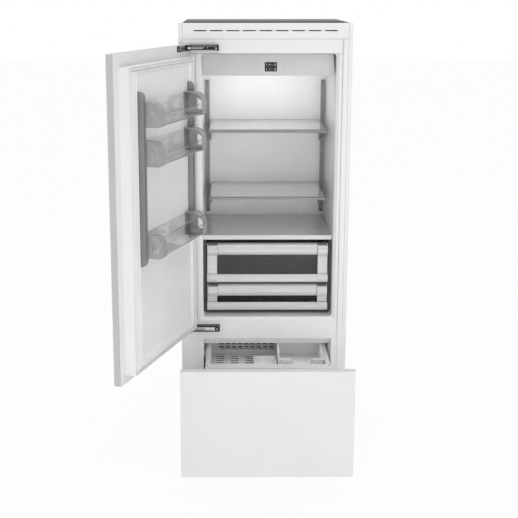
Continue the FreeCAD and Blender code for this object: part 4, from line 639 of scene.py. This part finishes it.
for z in fieldLook["rows"]:
    front, behind = fieldLook["markFront"]
    for left, right, low, high in fieldLook["marks"]:
        addBlock(marks, (left, front, z + low), (right, behind, z + high), 0.2, 1)
addPiece("display_fields", finishMesh(fields, "display_fields"), "cabinet", "dark_glass")
addPiece("display_marks", finishMesh(marks, "display_marks"), "cabinet", "grey_plastic")
print("control panel dressed")


# ---- hinge fittings in the two housings on the cabinet, and links on the door's plates

hingeLook = {
    "upper": {"base": 1985.0, "parts": [
        ("zinc_steel", (-338, -38, 20.5), (-226, -33, 24), 1.2),
        ("bright_steel", (-341, -39, 0.6), (-221, -33, 4.8), 1.4),
        ("bright_steel", (-228, -37.5, 6), (-221.5, -31, 19.5), 2.6),
        ("black_steel", (-218.5, -38, 3), (-212.6, -33, 22), 0.8),
        ("black_steel", (-234, -38, 22.4), (-212.6, -33, 25.8), 0.8)]},
    "lower": {"base": 656.0, "parts": [
        ("grey_plastic", (-322, -36.6, 6.5), (-236, -33, 22), 0.8),
        ("black_steel", (-330, -37, 1), (-214, -33, 5.4), 0.8),
        ("black_steel", (-234, -37.5, 5), (-214, -33.5, 25), 1.6),
        ("bright_steel", (-228, -39, 8), (-221, -36, 19), 1.4),
        ("bright_steel", (-248, -38, 4), (-234, -35, 8), 0.8)]},
}
# round posts: place, radius, height, sides and taper
postLook = {"bright_steel": [((-307, -29, 14), 6.0, 7.5, 28, 0.75),
                             ((-338, -35, 13), 4.6, 3.0, 24, 0.9)],
            "black_steel": [((-320, -30, 10.5), 4.4, 5.0, 24, 0.9)]}
hingeScrewLook = {"seats": ((-280, 15), (-263, 14)), "y": -31, "radius": 4.2, "height": 2.0,
                  "slot": 1.2}
screwSeats = []
for level, look in hingeLook.items():
    base = look["base"]
    for finish in sorted({part[0] for part in look["parts"]}):
        fitting = bmesh.new()
        # posts first: after a bevel, their points would come in another order on each run
        for (x, y, z), radius, height, sides, taper in postLook.get(finish, []):
            addDisc(fitting, (x, y, base + z), (0, -1, 0), radius, height, sides, taper)
        for kind, low, high, bevel in look["parts"]:
            if kind == finish:
                addBlock(fitting, (low[0], low[1], base + low[2]),
                         (high[0], high[1], base + high[2]), bevel)
        addPiece(f"{level}_hinge_{finish}", finishMesh(fitting, level + "_fitting"),
                 "cabinet", finish)
    screwSeats += [((x, hingeScrewLook["y"], base + z), (0, -1, 0))
                   for x, z in hingeScrewLook["seats"]]
hingeScrews = grow("hinge_screws", pointSeed("hinge_screws", screwSeats), screwTree, {
    "Head Radius": hingeScrewLook["radius"] * mm, "Head Height": hingeScrewLook["height"] * mm,
    "Slot Width": hingeScrewLook["slot"] * mm, "Finish": finishes["bright_steel"]})
smoothEdges(hingeScrews, 30)
addPiece("hinge_screws", hingeScrews, "cabinet", "bright_steel")
linkLook = {"levels": (1985.0, 656.0), "bars": [
    ((-322, -51.3, 20), (-262, -48.6, 24), 0.8), ((-322, -51.3, 2), (-290, -48.6, 5.4), 0.8),
    ((-276, -51.3, 7), (-266, -47.6, 18), 1.4), ((-258, -51.3, 9), (-250, -49.6, 16), 1.0)]}
links = bmesh.new()
for base in linkLook["levels"]:
    for low, high, bevel in linkLook["bars"]:
        addBlock(links, (low[0], low[1], base + low[2]), (high[0], high[1], base + high[2]), bevel)
addPiece("hinge_links", finishMesh(links, "hinge_links"), "door", "bright_steel", doorTurn)
print("hinges dressed")


# ---- wire guard over the lowest bin, painted shade sheets behind the ladder rails, tabs behind the glass

def tubeMesh(name, points, radius, sides=4):
    curve = bpy.data.curves.new(name, "CURVE")
    curve.dimensions = "3D"
    curve.bevel_depth = radius * mm
    curve.bevel_resolution = sides
    curve.use_fill_caps = True
    spline = curve.splines.new("NURBS")
    spline.points.add(len(points) - 1)
    for spot, place in zip(spline.points, points):
        spot.co = (*(Vector(place) * mm), 1.0)
    spline.order_u = 3
    spline.use_endpoint_u = True
    holder = bpy.data.objects.new(name, curve)
    scene.collection.objects.link(holder)
    made = holder.evaluated_get(bpy.context.evaluated_depsgraph_get())
    mesh = bpy.data.meshes.new_from_object(made)
    bpy.data.objects.remove(holder)
    smoothEdges(mesh, 60)
    return mesh


guardLook = {"radius": 2.0, "path": [
    (238, 30, 1272), (238, 34, 1281), (236, 56, 1281), (228, 84, 1279), (214, 90, 1279),
    (180, 90, 1279), (-180, 90, 1279), (-214, 90, 1279), (-228, 84, 1279), (-240, 56, 1281),
    (-244, 34, 1281), (-244, 30, 1272)]}
addPiece("bottom_bin_guard", tubeMesh("bottom_bin_guard", guardLook["path"], guardLook["radius"]),
         "bottom_bin", "bright_steel", doorTurn)
# a grey sheet behind each ladder rail: painted shade, the tone of the shaded channel seen through
# the rail's openings
railShadeLook = {"rails": (-286, 300), "low": (2, 525, 1128), "high": (18, 527, 1806)}
railShade = bmesh.new()
for x in railShadeLook["rails"]:
    addBlock(railShade, Vector(railShadeLook["low"]) + Vector((x, 0, 0)),
             Vector(railShadeLook["high"]) + Vector((x, 0, 0)), 0.4, 1)
addPiece("ladder_rail_shade_sheet", finishMesh(railShade, "ladder_rail_shade_sheet"), "cabinet",
         "zinc_steel")
tabLook = {"starts": (-178, 190), "width": 26, "y": (498, 524), "z": (1107, 1112)}
tabs = bmesh.new()
for x in tabLook["starts"]:
    addBlock(tabs, (x, tabLook["y"][0], tabLook["z"][0]),
             (x + tabLook["width"], tabLook["y"][1], tabLook["z"][1]), 2.0)
addPiece("cover_glass_tabs", finishMesh(tabs, "cover_glass_tabs"), "cabinet", "grey_plastic")
print("small parts set")


# ---- painted shadow lines: grey strips on the joins between the frame's sheets, standing in for the shade in their gaps

shadowLineLook = [((351.4, -1.35, 652), (352.6, -0.6, 2035)), ((-319.2, -1.35, 652), (-318, -0.6, 1984)),
            ((-346, -0.35, 1970.2), (355, 0.4, 1971.4)), ((355, -0.35, 1971), (356, 0.4, 2036)),
            ((-377, -0.4, 2035.6), (377, 0.4, 2036.9)), ((-346, -1.35, 714), (-319, -0.6, 715)),
            ((377.6, -0.3, 655), (378.6, 0.6, 2106)), ((-378.6, -0.3, 655), (-377.6, 0.6, 2106))]
shadowLines = bmesh.new()
for low, high in shadowLineLook:
    addBlock(shadowLines, low, high, 0.2, 1)
addPiece("frame_shadow_lines", finishMesh(shadowLines, "frame_shadow_lines"), "cabinet", "zinc_steel")
print("seams drawn:", len(shadowLineLook))


# ---- vented tray: dark patches on its back wall and floor, painted shade in its vent holes, and the low open bin that stands in it

trayLook = {"wallSlots": (-207.0, 32.0, 9), "wallLevels": (452.0, 470.0), "slotLength": 24.5,
            "floorGroups": (-234.0, -160.0, -87.0), "floorLength": 39.0,
            "floorRows": (170.0, 199.0, 228.0, 257.0), "rowWidth": 11.0,
            "wallFace": (307.4, 308.2), "slotHeight": 9, "floorFace": (420.1, 420.5)}
# dark plastic patches over the vent holes: painted shade, where the holes would show only shadow
slotShade = bmesh.new()
first, pitch, number = trayLook["wallSlots"]
for n in range(number):
    for z in trayLook["wallLevels"]:
        x = first + n * pitch - trayLook["slotLength"] / 2
        addBlock(slotShade, (x, trayLook["wallFace"][0], z),
                 (x + trayLook["slotLength"], trayLook["wallFace"][1],
                  z + trayLook["slotHeight"]), 0.3, 1)
for x in trayLook["floorGroups"]:
    for y in trayLook["floorRows"]:
        addBlock(slotShade, (x, y, trayLook["floorFace"][0]),
                 (x + trayLook["floorLength"], y + trayLook["rowWidth"],
                  trayLook["floorFace"][1]), 0.15, 1)
addPiece("tray_slot_shade", finishMesh(slotShade, "tray_slot_shade"), "freezer_tray", "dark_plastic")

binLook = {"x": (-45.0, 69.0), "y": (8.0, 205.0), "z": (420.6, 447.0), "wall": 2.4, "rim": 5.0}
binBuild = bmesh.new()
(x0, x1), (y0, y1), (z0, z1) = binLook["x"], binLook["y"], binLook["z"]
wall, rim = binLook["wall"], binLook["rim"]
addBlock(binBuild, (x0, y0, z0), (x1, y1, z0 + wall), 0.8)
for low, high in (((x0, y0), (x1, y0 + wall)), ((x0, y1 - wall), (x1, y1)),
                  ((x0, y0), (x0 + wall, y1)), ((x1 - wall, y0), (x1, y1))):
    addBlock(binBuild, (*low, z0), (*high, z1), 0.8)
for low, high in (((x0, y0), (x1, y0 + rim)), ((x0, y1 - rim), (x1, y1)),
                  ((x0, y0), (x0 + rim, y1)), ((x1 - rim, y0), (x1, y1))):
    addBlock(binBuild, (*low, z1 - wall), (*high, z1), 0.8)
lowBin = addPiece("low_ice_bin", finishMesh(binBuild, "low_ice_bin"), "freezer_tray",
                  "white_enamel")
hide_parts("ice_bin")
print("tray dressed")


# ---- floor, lamps and camera

# metres
stageLook = {"floor": "#F7F7F7", "floorSize": 60.0, "rimPoints": 96, "whiteShare": 0.94}
floorMesh = bpy.data.meshes.new("floor")
floorBuild = bmesh.new()
bmesh.ops.create_circle(floorBuild, cap_ends=True, radius=stageLook["floorSize"] / 2,
                        segments=stageLook["rimPoints"])
floorBuild.to_mesh(floorMesh)
floorBuild.free()
floorMesh.shade_smooth()
floor = bpy.data.objects.new("studio_floor", floorMesh)
scene.collection.objects.link(floor)

# matt paper floor: nearly white to the camera and through glass, a soft grey in the metals
paper = bpy.data.materials.new("matt_paper_sweep")
paper.use_nodes = True
paperTree = paper.node_tree
paperShader = paperTree.nodes["Principled BSDF"]
paperShader.inputs["Base Color"].default_value = toLinear(stageLook["floor"])
paperShader.inputs["Roughness"].default_value = 0.9
paperShader.inputs["Specular IOR Level"].default_value = 0.1


def seenWhite(tree, surface, share):
    # the camera, and rays that pass through glass, see surface moved towards white by share
    path = addNode(tree, "ShaderNodeLightPath")
    seen = addNode(tree, "ShaderNodeMath", {"operation": "MAXIMUM"}, {
        0: path.outputs["Is Camera Ray"], 1: path.outputs["Is Transmission Ray"]})
    amount = addNode(tree, "ShaderNodeMath", {"operation": "MULTIPLY"}, {
        0: seen.outputs[0], 1: share})
    white = addNode(tree, "ShaderNodeEmission", inputs={"Strength": 1.0})
    return addNode(tree, "ShaderNodeMixShader", inputs={
        0: amount.outputs[0], 1: surface, 2: white.outputs[0]}).outputs[0]


paperTree.links.new(seenWhite(paperTree, paperShader.outputs["BSDF"], stageLook["whiteShare"]),
                    paperTree.nodes["Material Output"].inputs["Surface"])
floorMesh.materials.append(paper)

# metres and watts; only the lamps marked mirrored show up in the metals
lampLook = {
    "key": {"place": (-2.6, -4.2, 3.6), "aim": (0.0, 0.0, 1.1), "size": 3.2, "power": 5,
            "mirrored": True},
    "fill": {"place": (3.2, -3.8, 1.5), "aim": (0.0, 0.0, 0.9), "size": 2.6, "power": 27,
             "mirrored": True},
    "top": {"place": (0.0, -0.6, 4.6), "aim": (0.0, -0.2, 0.0), "size": 3.4, "power": 26,
            "mirrored": True},
    "fridge": {"place": (0.017, 0.24, 1.86), "aim": (0.017, 0.46, 1.1), "size": 0.42,
               "power": 0.75},
    "front": {"place": (0.3, -4.4, 1.2), "aim": (0.0, 0.4, 0.9), "size": 1.4, "power": 43},
    "drawer": {"place": (0.017, 0.1, 0.562), "aim": (0.017, 0.04, 0.4), "size": 0.5, "depth": 0.17,
               "power": 0.45},
}
for name, look in lampLook.items():
    light = bpy.data.lights.new(name + "_softbox", "AREA")
    light.size = look["size"]
    if "depth" in look:
        light.shape = "RECTANGLE"
        light.size_y = look["depth"]
    light.energy = look["power"]
    lamp = bpy.data.objects.new(name + "_softbox", light)
    lamp.location = look["place"]
    lamp.rotation_euler = (Vector(look["aim"]) - Vector(look["place"])).to_track_quat(
        "-Z", "Y").to_euler()
    lamp.visible_camera = False
    lamp.visible_glossy = "mirrored" in look
    scene.collection.objects.link(lamp)
# brighter overhead than at the horizon, so that bars and rails shade from top to bottom
skyLook = {"colour": "#F5F5F5", "low": -0.1, "high": 0.9, "dim": 0.34, "bright": 0.9}
world = bpy.data.worlds.new("studio")
world.use_nodes = True
sky = world.node_tree.nodes["Background"]
sky.inputs["Color"].default_value = toLinear(skyLook["colour"])
skyTree = world.node_tree
facing = addNode(skyTree, "ShaderNodeSeparateXYZ", inputs={
    0: addNode(skyTree, "ShaderNodeTexCoord").outputs["Generated"]})
height = addNode(skyTree, "ShaderNodeMapRange", inputs={
    "Value": facing.outputs["Z"], "From Min": skyLook["low"], "From Max": skyLook["high"],
    "To Min": skyLook["dim"], "To Max": skyLook["bright"]})
skyTree.links.new(height.outputs["Result"], sky.inputs["Strength"])
skyTree.links.new(seenWhite(skyTree, sky.outputs["Background"], 1.0),
                  skyTree.nodes["World Output"].inputs["Surface"])
scene.world = world

cameraLook = {"place": (-0.163, -4.716, 2.262), "pitch": 12.6, "yaw": -0.3,
              "lens": 71.4, "sensor": 36.0, "shiftX": 0.046, "shiftY": -0.08}
cameraData = bpy.data.cameras.new("photo_camera")
cameraData.lens = cameraLook["lens"]
cameraData.sensor_width = cameraLook["sensor"]
cameraData.shift_x = cameraLook["shiftX"]
cameraData.shift_y = cameraLook["shiftY"]
camera = bpy.data.objects.new("photo_camera", cameraData)
camera.location = cameraLook["place"]
camera.rotation_euler = (math.radians(90 - cameraLook["pitch"]), 0,
                         math.radians(cameraLook["yaw"]))
scene.collection.objects.link(camera)
scene.camera = camera
scene.view_settings.view_transform = "Standard"
print("stage, lamps and camera set")
